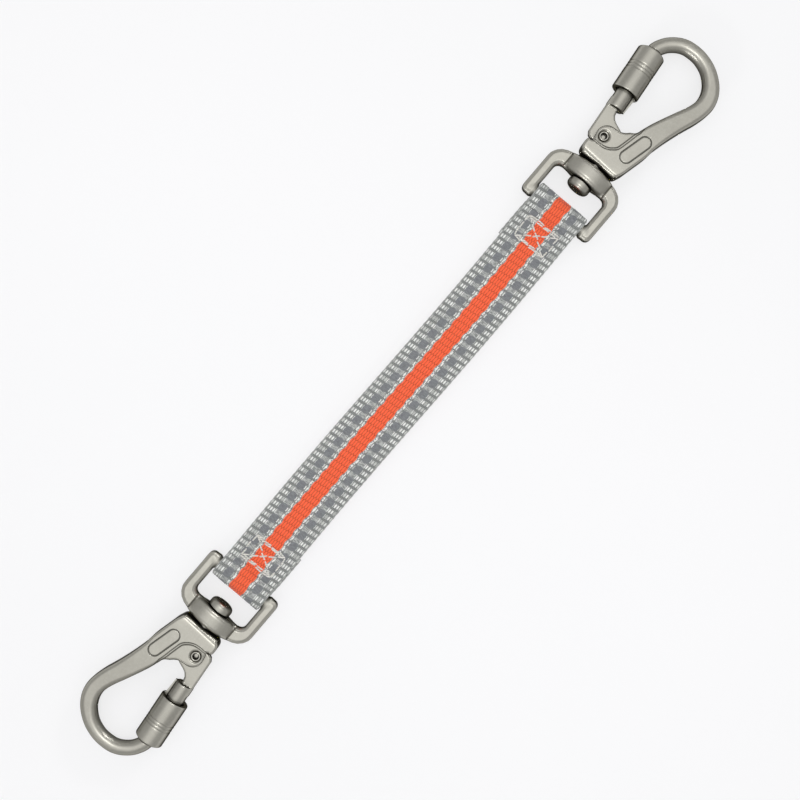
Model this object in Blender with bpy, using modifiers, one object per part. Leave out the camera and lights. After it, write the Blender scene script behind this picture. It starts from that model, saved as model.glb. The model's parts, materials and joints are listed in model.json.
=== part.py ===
"""Webbing coupler strap with a swivelling, sleeve-locked snap hook on each end.

The strap lies along X and the hooks lie flat.  One end is modelled in its own
frame: X runs out along the strap from its middle, Y across it towards the gate,
Z up from the middle plane.  The second end is the same end turned by 180 degrees.
Everything is in metres.
"""

import math

import bmesh
import bpy
from mathutils import Matrix, Vector

# ---- driving dimensions, in metres -------------------------------------------------
GAP = 0.0003  # clearance between pieces that touch in use

STRAP_WIDTH = 0.0194
STRAP_THICKNESS = 0.0016
STRAP_LAYER_Z = 0.00095  # middle of the front layer above the middle plane
TAIL_END_X = 0.0615
SEWN_END_X = 0.0745
TACK_NEAR_X = 0.0638
TACK_FAR_X = 0.0722
TACK_HALF_WIDTH = 0.0060
THREAD_HALF_WIDTH = 0.00035
THREAD_HEIGHT = 0.0004

BAR_X = 0.0791
BAR_RADIUS = 0.0021
EYE_HALF_WIDTH = 0.0142
EYE_LEG_WIDTH = 0.0041
EYE_HALF_HEIGHT = 0.0023
BOSS_NEAR_X = 0.0911
BOSS_FAR_X = 0.0972
BOSS_HALF_WIDTH = 0.0078
BOSS_HALF_HEIGHT = 0.00475
BOSS_BEVEL = 0.0006

PIN_RADIUS = 0.0020
PIN_PLAY = 0.0004  # round the pin in the boss
PIN_HEAD_RADIUS = 0.0041
PIN_HEAD_X = 0.0879
PIN_END_X = 0.1022

BODY_START_X = 0.0979
BODY_HALF_HEIGHT = 0.0040
BODY_BEVEL = 0.0009
EAR_HALF_HEIGHT = 0.0033
SLOT_HALF_HEIGHT = 0.0016
RECESS_RADIUS = 0.0021
RECESS_DEPTH = 0.0004
BOW_RADIUS = 0.0025
BOW_SIDES = 14
NOSE_RADIUS = 0.0025

PIVOT = Vector((0.1065, 0.0042, 0.0))
RIVET_RADIUS = 0.0012
RIVET_RIM_RADIUS = 0.0016
RIVET_BORE_RADIUS = 0.0008
RIVET_BORE_FLOOR = 0.0010
TONGUE_HALF_HEIGHT = 0.0013

GATE_TILT = math.radians(6.5)
GATE_OFFSET = 0.00209  # from the pivot to the barrel's axis
NECK_RADIUS = 0.0030
NECK_START = 0.0101  # along the barrel's axis, from beside the pivot
NECK_END = 0.0189
RIB_REACH = 0.0040  # from the barrel's axis to the rib's outer face
RIB_HALF_WIDTH = 0.0007
RIB_END = 0.0171
CORE_RADIUS = 0.0017
CORE_START = 0.0134
CORE_HEAD_RADIUS = 0.0024
CORE_HEAD_START = 0.0306

SLEEVE_RADIUS = 0.00485
SLEEVE_START = 0.0161
SLEEVE_SHOULDER = 0.0315
SLEEVE_MOUTH_RADIUS = 0.0031
SLEEVE_BORE_RADIUS = 0.0034
SLEEVE_CAVITY_RADIUS = 0.0038
SLEEVE_TRAVEL = 0.0043
CHAMBER_START = 0.0188
FLANGE_THICKNESS = 0.0013
LAST_GROOVE = 0.0259
GROOVE_COUNT = 3
GROOVE_PITCH = 0.0011
GROOVE_DEPTH = 0.0003
MOUTH_REACH = 0.0326  # from the pivot to the barrel's end face
NOSE_REACH = MOUTH_REACH + GAP

SLEEVE_WIRE_RADIUS = 0.00035
SLEEVE_COIL_RADIUS = 0.0027
GATE_WIRE_RADIUS = 0.00022
GATE_COIL_RADIUS = 0.0021

CENTRE_HEIGHT = SLEEVE_RADIUS  # the sleeves rest on the floor at Z = 0

STEEL = (0.62, 0.60, 0.55)
SPRING_STEEL = (0.45, 0.45, 0.44)
ORANGE = (0.87, 0.09, 0.02)
WHITE_THREAD = (0.85, 0.85, 0.83)


# ---- scene and materials -----------------------------------------------------------
def clear_scene():
    for obj in list(bpy.data.objects):
        bpy.data.objects.remove(obj, do_unlink=True)


def new_collection(name):
    collection = bpy.data.collections.new(name)
    bpy.context.scene.collection.children.link(collection)
    return collection


def new_material(name, color, roughness, metallic):
    material = bpy.data.materials.new(name)
    material.use_nodes = True
    shader = material.node_tree.nodes["Principled BSDF"]
    shader.inputs["Base Color"].default_value = (*color, 1.0)
    shader.inputs["Roughness"].default_value = roughness
    shader.inputs["Metallic"].default_value = metallic
    return material


# ---- modelling helpers -------------------------------------------------------------
def tool_object(name, mesh):
    """An object that only helps to make a mesh; it is removed once it is used."""
    obj = bpy.data.objects.new(name, mesh)
    bpy.context.scene.collection.objects.link(obj)
    return obj


def evaluated_mesh(obj):
    """The object's mesh with its modifiers and its place applied."""
    bpy.context.view_layer.update()
    depsgraph = bpy.context.evaluated_depsgraph_get()
    mesh = bpy.data.meshes.new_from_object(obj.evaluated_get(depsgraph))
    mesh.transform(obj.matrix_world)
    bpy.data.objects.remove(obj, do_unlink=True)
    weld(mesh)
    return mesh


def weld(mesh):
    work = bmesh.new()
    work.from_mesh(mesh)
    bmesh.ops.remove_doubles(work, verts=work.verts, dist=0.000002)
    bmesh.ops.recalc_face_normals(work, faces=work.faces)
    work.to_mesh(mesh)
    work.free()


def combine(mesh, other, operation):
    """Boolean of two meshes with the exact solver."""
    target = tool_object("target", mesh)
    cutter = tool_object("cutter", other)
    boolean = target.modifiers.new("Boolean", "BOOLEAN")
    boolean.object = cutter
    boolean.operation = operation
    boolean.solver = "EXACT"
    result = evaluated_mesh(target)
    bpy.data.objects.remove(cutter, do_unlink=True)
    return result


def join(mesh, *others):
    for other in others:
        mesh = combine(mesh, other, "UNION")
    return mesh


def cut(mesh, *others):
    for other in others:
        mesh = combine(mesh, other, "DIFFERENCE")
    return mesh


def spline_through(points, steps, closed=False):
    """A smooth Catmull-Rom line through points of any number of values."""
    count = len(points)
    last = count if closed else count - 1
    result = []
    for index in range(last):
        ring = []
        for offset in (-1, 0, 1, 2):
            place = index + offset
            place = place % count if closed else min(max(place, 0), count - 1)
            ring.append(points[place])
        for step in range(steps):
            t = step / steps
            result.append(tuple(blend_four(*values, t) for values in zip(*ring)))
    if not closed:
        result.append(tuple(points[-1]))
    return result


def blend_four(before, start, end, after, t):
    slope = end - before
    bend = 2 * before - 5 * start + 4 * end - after
    twist = 3 * start - before - 3 * end + after
    return 0.5 * (2 * start + slope * t + bend * t * t + twist * t**3)


def oval_ring(centre, side, up, half_width, half_height, power, count):
    """A ring of points round a superellipse; power 2 is an ellipse, more is boxier."""
    ring = []
    for index in range(count):
        angle = 2 * math.pi * (index + 0.5) / count
        across = math.copysign(abs(math.cos(angle)) ** (2 / power), math.cos(angle))
        high = math.copysign(abs(math.sin(angle)) ** (2 / power), math.sin(angle))
        ring.append(centre + side * across * half_width + up * high * half_height)
    return ring


def loft(name, rings, closed=False):
    """A skin over rings of the same number of points, capped or closed on itself."""
    work = bmesh.new()
    loops = [[work.verts.new(point) for point in ring] for ring in rings]
    count = len(loops[0])
    pairs = list(zip(loops, loops[1:]))
    if closed:
        pairs.append((loops[-1], loops[0]))
    else:
        work.faces.new(reversed(loops[0]))
        work.faces.new(loops[-1])
    for near, far in pairs:
        for index in range(count):
            after = (index + 1) % count
            work.faces.new((near[index], near[after], far[after], far[index]))
    bmesh.ops.recalc_face_normals(work, faces=work.faces)
    mesh = bpy.data.meshes.new(name)
    work.to_mesh(mesh)
    work.free()
    return mesh


def swept(name, stations, steps, sides, closed=False):
    """Lofts stations (x, y, half width, half height, power) along their line."""
    line = spline_through(stations, steps, closed)
    count = len(line)
    up = Vector((0, 0, 1))
    rings = []
    for index, (x, y, half_width, half_height, power) in enumerate(line):
        before = line[index - 1] if closed or index else line[0]
        after = line[(index + 1) % count] if closed or index < count - 1 else line[-1]
        along = Vector((after[0] - before[0], after[1] - before[1], 0)).normalized()
        centre = Vector((x, y, 0))
        side = along.cross(up)
        rings.append(oval_ring(centre, side, up, half_width, half_height, power, sides))
    return loft(name, rings, closed)


def slab(name, outline, low, high, bevel=0.0):
    """A flat outline, a closed 2D curve, extruded between two heights."""
    curve = bpy.data.curves.new(name, "CURVE")
    curve.dimensions = "2D"
    curve.fill_mode = "BOTH"
    curve.extrude = (high - low) / 2
    spline = curve.splines.new("POLY")
    spline.points.add(len(outline) - 1)
    for point, place in zip(spline.points, outline):
        point.co = (place[0], place[1], 0, 1)
    spline.use_cyclic_u = True
    shape = tool_object(name, curve)
    shape.location.z = (high + low) / 2
    mesh = evaluated_mesh(shape)
    bpy.data.curves.remove(curve)
    if bevel:
        mesh = bevelled(mesh, bevel)
    return mesh


def bevelled(mesh, width, segments=2):
    shape = tool_object("bevelled", mesh)
    bevel = shape.modifiers.new("Bevel", "BEVEL")
    bevel.width = width
    bevel.segments = segments
    bevel.limit_method = "ANGLE"
    bevel.angle_limit = math.radians(50)
    return evaluated_mesh(shape)


def turned(name, profile, steps):
    """A closed profile of (radius, height) spun round Z with a Screw modifier.

    A profile that starts and ends on the axis makes a solid, any other a ring.
    """
    mesh = bpy.data.meshes.new(name)
    count = len(profile)
    solid = profile[0][0] == 0 and profile[-1][0] == 0
    edges = [(index, index + 1) for index in range(count - 1)]
    if not solid:
        edges.append((count - 1, 0))
    mesh.from_pydata([(radius, 0, height) for radius, height in profile], edges, [])
    shape = tool_object(name, mesh)
    screw = shape.modifiers.new("Screw", "SCREW")
    screw.axis = "Z"
    screw.steps = steps
    screw.render_steps = steps
    screw.use_merge_vertices = True
    screw.merge_threshold = 0.00001
    return evaluated_mesh(shape)


def cylinder(radius, low, high, sides=24):
    return turned("cylinder", [(0, high), (radius, high), (radius, low), (0, low)], sides)


def box(low, high):
    work = bmesh.new()
    bmesh.ops.create_cube(work, size=1.0)
    for vert in work.verts:
        for axis in range(3):
            vert.co[axis] = high[axis] if vert.co[axis] > 0 else low[axis]
    mesh = bpy.data.meshes.new("box")
    work.to_mesh(mesh)
    work.free()
    return mesh


def wire(name, points, radius):
    """A round wire along a line of points, with filled caps."""
    curve = bpy.data.curves.new(name, "CURVE")
    curve.dimensions = "3D"
    curve.bevel_depth = radius
    curve.bevel_resolution = 2
    curve.use_fill_caps = True
    spline = curve.splines.new("POLY")
    spline.points.add(len(points) - 1)
    for point, place in zip(spline.points, points):
        point.co = (*place, 1)
    mesh = evaluated_mesh(tool_object(name, curve))
    bpy.data.curves.remove(curve)
    return mesh


def arc(centre, radius, start_deg, end_deg, steps):
    points = []
    for step in range(steps + 1):
        angle = math.radians(start_deg + (end_deg - start_deg) * step / steps)
        x = centre[0] + radius * math.cos(angle)
        y = centre[1] + radius * math.sin(angle)
        points.append((x, y))
    return points


# ---- places that several pieces share ----------------------------------------------
ALONG_X = Matrix.Rotation(math.pi / 2, 4, "Y")  # turns Z to X


def barrel_frame():
    """Z runs out along the gate's barrel, from the point beside the pivot."""
    across = Vector((-math.sin(GATE_TILT), math.cos(GATE_TILT), 0))
    foot = PIVOT + across * GATE_OFFSET
    turn = Matrix.Rotation(GATE_TILT, 4, "Z")
    return Matrix.Translation(foot) @ turn @ ALONG_X


def round_off(mesh, reach, beyond):
    """Moves end points along the barrel until they are reach away from the pivot."""
    frame = barrel_frame()
    axis = frame.to_3x3() @ Vector((0, 0, 1))
    inverse = frame.inverted()
    for vert in mesh.vertices:
        if (inverse @ vert.co).z < beyond:
            continue
        offset = vert.co - PIVOT
        flat = Vector((offset.x, offset.y, 0))
        ahead = flat.dot(axis)
        aside = (flat - axis * ahead).length
        vert.co += axis * (math.sqrt(reach**2 - aside**2) - ahead)


# ---- the pieces of one end ---------------------------------------------------------
def swivel_eye():
    """The D-shaped eye: a round bar for the webbing, two legs, an arch with a boss."""
    leg_y = EYE_HALF_WIDTH - EYE_LEG_WIDTH / 2
    half_leg = EYE_LEG_WIDTH / 2
    half = [
        (BAR_X, 0.0085, BAR_RADIUS, BAR_RADIUS, 2),
        (BAR_X, 0.0102, BAR_RADIUS, BAR_RADIUS, 2),
        (BAR_X + 0.0008, leg_y, half_leg, EYE_HALF_HEIGHT, 2.4),
        (0.0845, leg_y, half_leg, EYE_HALF_HEIGHT, 3.2),
        (0.0891, leg_y, half_leg, EYE_HALF_HEIGHT, 3.2),
        (0.0926, 0.0109, 0.0025, EYE_HALF_HEIGHT, 3.2),
        (0.0940, 0.0070, 0.0029, EYE_HALF_HEIGHT, 3.2),
        (0.0941, 0.0025, 0.0029, EYE_HALF_HEIGHT, 3.2),
    ]
    mirrored = [(x, -y, *section) for x, y, *section in reversed(half)]
    loop = swept("eye", half + mirrored, 3, 12, closed=True)
    rise = BOSS_HALF_HEIGHT - EYE_HALF_HEIGHT
    radius = (BOSS_HALF_WIDTH**2 + rise**2) / (2 * rise)
    spread = math.degrees(math.asin(BOSS_HALF_WIDTH / radius))
    top = arc((0, BOSS_HALF_HEIGHT - radius), radius, 90 - spread, 90 + spread, 8)
    lens = top + [(-x, -y) for x, y in top]
    boss = slab("boss", lens, BOSS_NEAR_X, BOSS_FAR_X, BOSS_BEVEL)
    boss.transform(Matrix(((0, 0, 1, 0), (1, 0, 0, 0), (0, 1, 0, 0), (0, 0, 0, 1))))
    hole = cylinder(PIN_RADIUS + PIN_PLAY, BOSS_NEAR_X - 0.002, BOSS_FAR_X + 0.002)
    hole.transform(ALONG_X)
    return cut(join(loop, boss), hole)


def swivel_pin():
    """The headed pin that holds the hook to the eye and lets it turn."""
    dome = 0.0012
    profile = [
        (0, PIN_END_X),
        (PIN_RADIUS - 0.0003, PIN_END_X),
        (PIN_RADIUS, PIN_END_X - 0.0003),
        (PIN_RADIUS, BOSS_NEAR_X - PIN_PLAY),
        (PIN_HEAD_RADIUS, BOSS_NEAR_X - PIN_PLAY),
        (PIN_HEAD_RADIUS, PIN_HEAD_X + dome),
        (PIN_HEAD_RADIUS - 0.0005, PIN_HEAD_X + 0.0003),
        (PIN_HEAD_RADIUS - 0.0013, PIN_HEAD_X),
        (0, PIN_HEAD_X),
    ]
    mesh = turned("pin", profile, 24)
    mesh.transform(ALONG_X)
    return mesh


def hook_body():
    """The hook: a block with two ears for the gate, a spine and a round bow."""
    stations = [
        (0.1045, -0.0051, 0.0040, 0.0040, 6.0),
        (0.1095, -0.0062, 0.0041, 0.0040, 6.0),
        (0.1140, -0.0072, 0.0039, 0.0039, 5.0),
        (0.1180, -0.00835, 0.0036, 0.0038, 4.5),
        (0.1220, -0.0097, 0.0034, 0.0036, 4.0),
        (0.1260, -0.0113, 0.0032, 0.0033, 3.6),
        (0.1300, -0.0129, 0.0030, 0.0030, 3.2),
        (0.1335, -0.0141, 0.0029, 0.0029, 3.0),
        (0.1365, -0.0143, 0.0029, 0.0028, 2.8),
        (0.1396, -0.0133, 0.0028, 0.0027, 2.6),
        (0.1426, -0.0112, 0.0027, 0.0026, 2.4),
        (0.1453, -0.0076, BOW_RADIUS, BOW_RADIUS, 2.2),
        (0.1468, -0.0032, BOW_RADIUS, BOW_RADIUS, 2),
        (0.1468, 0.0010, BOW_RADIUS, BOW_RADIUS, 2),
        (0.1460, 0.0039, BOW_RADIUS, BOW_RADIUS, 2),
        (0.1443, 0.0065, BOW_RADIUS, BOW_RADIUS, 2),
        (0.1422, 0.0084, BOW_RADIUS, BOW_RADIUS, 2),
        (0.1390, 0.0098, NOSE_RADIUS, NOSE_RADIUS, 2),
    ]
    bow = swept("bow", stations, 2, BOW_SIDES)
    face_nose(bow)
    body = join(base_block(), bow)
    return cut(body, *ear_steps(), gate_slot(), *rivet_cutters(), pin_hole(), recess())


def face_nose(bow):
    """Sets the nose's end ring on a cylinder round the pivot."""
    axis = barrel_frame().to_3x3() @ Vector((0, 0, 1))
    for vert in bow.vertices[-BOW_SIDES:]:
        offset = Vector((vert.co.x - PIVOT.x, vert.co.y - PIVOT.y, 0))
        ahead = offset.dot(axis)
        across = (offset - axis * ahead).length
        vert.co += axis * (math.sqrt(NOSE_REACH**2 - across**2) - ahead)


def base_block():
    outline = [
        (BODY_START_X, -0.0058),
        (0.0983, -0.0071),
        (0.0994, -0.0079),
        (0.1030, -0.0085),
        (0.1070, -0.0094),
        (0.1110, -0.0103),
        (0.1130, -0.0070),
        (0.1134, -0.0023),
        (0.1121, -0.0006),
        (0.1111, 0.0010),
        (0.1108, 0.0040),
        (0.1101, 0.0056),
        (0.1090, 0.0066),
        (0.1076, 0.0070),
        (0.1046, 0.0065),
        (0.1030, 0.0063),
        (0.1028, 0.0078),
        (0.1006, 0.0079),
        (0.0993, 0.0075),
        (0.0984, 0.0066),
        (BODY_START_X, 0.0054),
    ]
    return slab("base", outline, -BODY_HALF_HEIGHT, BODY_HALF_HEIGHT, BODY_BEVEL)


def ear_steps():
    """The ears' faces stand below the block's faces, behind an S-shaped step."""
    outline = [
        (0.1031, 0.0150),
        (0.1034, 0.0028),
        (0.1040, 0.0007),
        (0.10505, -0.0008),
        (0.1062, -0.00185),
        (0.1081, -0.0024),
        (0.11075, -0.0030),
        (0.11275, -0.0034),
        (0.1147, -0.0040),
        (0.1250, -0.0040),
        (0.1250, 0.0150),
    ]
    step = 2 * (BODY_HALF_HEIGHT - EAR_HALF_HEIGHT)
    above = slab("step", outline, EAR_HALF_HEIGHT, BODY_HALF_HEIGHT + step)
    below = slab("step", outline, -BODY_HALF_HEIGHT - step, -EAR_HALF_HEIGHT)
    return above, below


def gate_slot():
    """The slot between the ears, which the gate's tongue swings in."""
    outline = [(0.1028, 0.0150)]
    outline += arc(PIVOT, 0.0037, 180, 270, 6)
    outline += [(0.1084, -0.0018), (0.1180, -0.0030), (0.1180, 0.0150)]
    return slab("slot", outline, -SLOT_HALF_HEIGHT, SLOT_HALF_HEIGHT)


def rivet_cutters():
    """The rivet's hole, with a countersink on each ear."""
    hole = cylinder(RIVET_RADIUS + GAP, -0.006, 0.006)
    hole.transform(Matrix.Translation(PIVOT))
    cutters = [hole]
    for side in (1, -1):
        wide = RIVET_RIM_RADIUS + 0.0006
        depth = EAR_HALF_HEIGHT - 0.0008
        profile = [(0, 0.006), (wide, 0.006), (wide, EAR_HALF_HEIGHT), (0.0012, depth), (0, depth)]
        sink = turned("sink", profile, 24)
        if side < 0:
            sink.transform(Matrix.Rotation(math.pi, 4, "X"))
        sink.transform(Matrix.Translation(PIVOT))
        cutters.append(sink)
    return cutters


def pin_hole():
    hole = cylinder(PIN_RADIUS + GAP, BODY_START_X - 0.002, PIN_END_X + GAP)
    hole.transform(ALONG_X)
    return hole


def recess():
    """A shallow round-ended plaque recess in the front face."""
    start = (0.1058, -0.0056)
    end = (0.1130, -0.0074)
    heading = math.degrees(math.atan2(end[1] - start[1], end[0] - start[0]))
    outline = arc(start, RECESS_RADIUS, heading + 90, heading + 270, 8)
    outline += arc(end, RECESS_RADIUS, heading - 90, heading + 90, 8)
    return slab("recess", outline, BODY_HALF_HEIGHT - RECESS_DEPTH, BODY_HALF_HEIGHT + RECESS_DEPTH)


def gate():
    """The gate: a flat tongue on the rivet and a round neck that carries the sleeve."""
    outline = [(0.1043, 0.00845), (0.1037, 0.0073)]
    outline += arc(PIVOT, 0.0032, 180, 300, 7)
    outline += [
        (0.1118, 0.0008),
        (0.1123, 0.0020),
        (0.1128, 0.0035),
        (0.1135, 0.0048),
        (0.1145, 0.0057),
        (0.1158, 0.0061),
        (0.1186, 0.0061),
        (0.1186, 0.0106),
        (0.1156, 0.0104),
        (0.1055, 0.0093),
    ]
    tongue = slab("tongue", outline, -TONGUE_HALF_HEIGHT, TONGUE_HALF_HEIGHT)
    neck_profile = [
        (0, NECK_END),
        (NECK_RADIUS - 0.0003, NECK_END),
        (NECK_RADIUS, NECK_END - 0.0003),
        (NECK_RADIUS, NECK_START + 0.0004),
        (NECK_RADIUS - 0.0004, NECK_START),
        (0, NECK_START),
    ]
    neck = turned("neck", neck_profile, 24)
    rib_low = (-RIB_HALF_WIDTH, -RIB_REACH, NECK_START + 0.0007)
    rib_high = (RIB_HALF_WIDTH, -NECK_RADIUS + 0.0008, RIB_END)
    rib = box(rib_low, rib_high)
    bore = cylinder(CORE_RADIUS + GAP, CORE_START - GAP, NECK_END + 0.001)
    for mesh in (neck, rib, bore):
        mesh.transform(barrel_frame())
    rivet_hole = cylinder(RIVET_RADIUS + GAP, -0.003, 0.003)
    rivet_hole.transform(Matrix.Translation(PIVOT))
    return cut(join(tongue, neck, rib), bore, rivet_hole, spring_pocket())


def spring_pocket():
    """The tongue is thinned round the rivet, where the gate's spring sits."""
    outline = arc(PIVOT, 0.0036, 50, 330, 18)
    outline.append((0.1108, 0.0030))
    outline.append((0.1108, 0.0055))
    return slab("pocket", outline, -0.003, -0.0001)


def gate_core():
    """The headed rod in the neck, which guides the sleeve's spring and stops the sleeve."""
    profile = [
        (0, MOUTH_REACH),
        (CORE_HEAD_RADIUS, MOUTH_REACH),
        (CORE_HEAD_RADIUS, CORE_HEAD_START),
        (CORE_RADIUS, CORE_HEAD_START),
        (CORE_RADIUS, CORE_START),
        (0, CORE_START),
    ]
    mesh = turned("core", profile, 24)
    mesh.transform(barrel_frame())
    round_off(mesh, MOUTH_REACH, MOUTH_REACH - 0.0002)
    return mesh


def gate_rivet():
    """A semi-tubular rivet: rolled over in front, with a flat head behind."""
    end = EAR_HALF_HEIGHT - 0.0001
    profile = [
        (0, RIVET_BORE_FLOOR),
        (RIVET_BORE_RADIUS, RIVET_BORE_FLOOR),
        (RIVET_BORE_RADIUS, end - 0.0003),
        (RIVET_BORE_RADIUS + 0.0002, end),
        (RIVET_RIM_RADIUS, end),
        (RIVET_RADIUS, end - 0.0006),
        (RIVET_RADIUS, 0.0006 - end),
        (RIVET_RIM_RADIUS, -end),
        (0, -end),
    ]
    mesh = turned("rivet", profile, 20)
    mesh.transform(Matrix.Translation(PIVOT))
    return mesh


def gate_spring():
    """The torsion spring round the rivet that closes the gate."""
    start_deg = 225
    end_deg = 630
    steps = 14
    low = -TONGUE_HALF_HEIGHT + GATE_WIRE_RADIUS
    rise = 2.5 * GATE_WIRE_RADIUS
    points = [(0.1036, 0.0041, low), (0.1042, 0.0035, low)]
    for index, (x, y) in enumerate(arc(PIVOT, GATE_COIL_RADIUS, start_deg, end_deg, steps)):
        points.append((x, y, low + rise * index / steps))
    top = low + rise
    points.append((0.1083, 0.0025, top))
    points.append((0.1098, 0.0043, top))
    return wire("gate_spring", points, GATE_WIRE_RADIUS)


def locking_sleeve():
    """The sliding sleeve: grip grooves outside, a keyway and a spring chamber inside."""
    flange = CORE_HEAD_START - GAP
    chamber_end = flange - FLANGE_THICKNESS
    wide = SLEEVE_RADIUS
    profile = [
        (CORE_HEAD_RADIUS + GAP, MOUTH_REACH),
        (SLEEVE_MOUTH_RADIUS, MOUTH_REACH),
        (wide, SLEEVE_SHOULDER),
    ]
    for groove in range(GROOVE_COUNT):
        middle = LAST_GROOVE - GROOVE_PITCH * groove
        profile.append((wide, middle + GROOVE_DEPTH))
        profile.append((wide - GROOVE_DEPTH, middle))
        profile.append((wide, middle - GROOVE_DEPTH))
    profile += [
        (wide, SLEEVE_START + 0.0004),
        (wide - 0.0004, SLEEVE_START),
        (SLEEVE_BORE_RADIUS, SLEEVE_START),
        (SLEEVE_BORE_RADIUS, CHAMBER_START - 0.0004),
        (SLEEVE_CAVITY_RADIUS, CHAMBER_START),
        (SLEEVE_CAVITY_RADIUS, chamber_end),
        (CORE_RADIUS + 0.0004, chamber_end),
        (CORE_RADIUS + 0.0004, flange),
        (CORE_HEAD_RADIUS + GAP, flange),
    ]
    mesh = turned("sleeve", profile, 28)
    half = RIB_HALF_WIDTH + GAP
    low = (-half, -RIB_REACH - GAP, SLEEVE_START - 0.001)
    high = (half, -SLEEVE_BORE_RADIUS + 0.0015, RIB_END + SLEEVE_TRAVEL + GAP)
    mesh = cut(mesh, box(low, high))
    mesh.transform(barrel_frame())
    round_off(mesh, MOUTH_REACH, MOUTH_REACH - 0.0002)
    return mesh


def sleeve_spring():
    """The compression spring that pushes the sleeve over the nose."""
    turns = 6
    steps = 9
    start = NECK_END + GAP + SLEEVE_WIRE_RADIUS
    end = CORE_HEAD_START - FLANGE_THICKNESS - 2 * GAP - SLEEVE_WIRE_RADIUS
    points = []
    for step in range(turns * steps + 1):
        angle = 2 * math.pi * step / steps
        x = SLEEVE_COIL_RADIUS * math.cos(angle)
        y = SLEEVE_COIL_RADIUS * math.sin(angle)
        share = step / (turns * steps)
        points.append((x, y, start + (end - start) * share))
    mesh = wire("sleeve_spring", points, SLEEVE_WIRE_RADIUS)
    mesh.transform(barrel_frame())
    return mesh


def tack_stitching(side):
    """The box of thread with a cross in it, on one face of the sewn overlap."""
    near = TACK_NEAR_X
    far = TACK_FAR_X
    half = TACK_HALF_WIDTH
    thread = THREAD_HALF_WIDTH
    bars = []
    for x in (near, far):
        bars.append(bar_outline((x, -half - thread), (x, half + thread), thread))
    for y in (-half, half):
        bars.append(bar_outline((near, y), (far, y), thread))
    for slant in (1, -1):
        bars.append(bar_outline((near, -half * slant), (far, half * slant), thread))
    face = STRAP_LAYER_Z + STRAP_THICKNESS / 2 + GAP
    mesh = join(*[slab("thread", bar, face, face + THREAD_HEIGHT) for bar in bars])
    if side < 0:
        mesh.transform(Matrix.Rotation(math.pi, 4, "X"))
    return mesh


def bar_outline(start, end, half_width):
    """The four corners of a straight bar between two points."""
    along = Vector((end[0] - start[0], end[1] - start[1])).normalized()
    aside = Vector((-along.y, along.x)) * half_width
    first = Vector(start)
    last = Vector(end)
    return [first - aside, last - aside, last + aside, first + aside]


# ---- the strap ---------------------------------------------------------------------
def strap():
    """One length of webbing, folded round both bars, with its tails sewn behind."""
    radius = BAR_RADIUS + GAP + STRAP_THICKNESS / 2
    half = [(0.0, STRAP_LAYER_Z), (0.035, STRAP_LAYER_Z), (0.060, STRAP_LAYER_Z)]
    half.append((SEWN_END_X - 0.0015, STRAP_LAYER_Z))
    half.append((SEWN_END_X, STRAP_LAYER_Z + 0.0001))
    for step in range(9):
        angle = math.radians(118 - 236 * step / 8)
        half.append((BAR_X + radius * math.cos(angle), radius * math.sin(angle)))
    half.append((SEWN_END_X, -STRAP_LAYER_Z - 0.0001))
    half.append((SEWN_END_X - 0.0015, -STRAP_LAYER_Z))
    half.append((TAIL_END_X, -STRAP_LAYER_Z))
    other = [(-x, z) for x, z in reversed(half[1:])]
    line = other + half
    work = bmesh.new()
    rows = []
    for x, z in line:
        rows.append([work.verts.new((x, side * STRAP_WIDTH / 2, z)) for side in (-1, 1)])
    for near, far in zip(rows, rows[1:]):
        work.faces.new((near[0], far[0], far[1], near[1]))
    mesh = bpy.data.meshes.new("strap")
    work.to_mesh(mesh)
    work.free()
    shape = tool_object("strap", mesh)
    solid = shape.modifiers.new("Solidify", "SOLIDIFY")
    solid.thickness = STRAP_THICKNESS
    solid.offset = 0
    solid.use_even_offset = True
    return evaluated_mesh(shape)


# ---- assembly ----------------------------------------------------------------------
def joint_empty(name, place, collection):
    empty = bpy.data.objects.new(name, None)
    empty.empty_display_size = 0.01
    empty.location = place
    collection.objects.link(empty)
    return empty


def hang_on(child, parent):
    """Parents child without moving it."""
    bpy.context.view_layer.update()
    child.parent = parent
    child.matrix_parent_inverse = parent.matrix_world.inverted()


def place(name, mesh, material, parent, collection):
    obj = bpy.data.objects.new(name, mesh)
    if not mesh.materials:
        mesh.materials.append(material)
    mesh.shade_smooth()
    mesh.set_sharp_from_angle(angle=math.radians(35))
    collection.objects.link(obj)
    hang_on(obj, parent)
    return obj


def build_end(prefix, turn, meshes, collection):
    """Places one end's pieces on their joints, then turns the whole end."""
    end = joint_empty(prefix + "_end", (0, 0, 0), collection)
    eye = joint_empty(prefix + "_eye_hinge", (BAR_X, 0, 0), collection)
    swivel = joint_empty(prefix + "_swivel_axis", (BODY_START_X, 0, 0), collection)
    hinge = joint_empty(prefix + "_gate_hinge", PIVOT, collection)
    slide = joint_empty(prefix + "_sleeve_slide", barrel_frame().translation, collection)
    chain = (end, eye, swivel, hinge, slide)
    for parent, child in zip(chain, chain[1:]):
        hang_on(child, parent)
    holders = {"end": end, "eye": eye, "swivel": swivel, "gate": hinge, "sleeve": slide}
    for name, (mesh, material, holder) in meshes.items():
        place(f"{prefix}_{name}", mesh, material, holders[holder], collection)
    end.rotation_euler.z = turn
    end.location.z = CENTRE_HEIGHT


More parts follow.
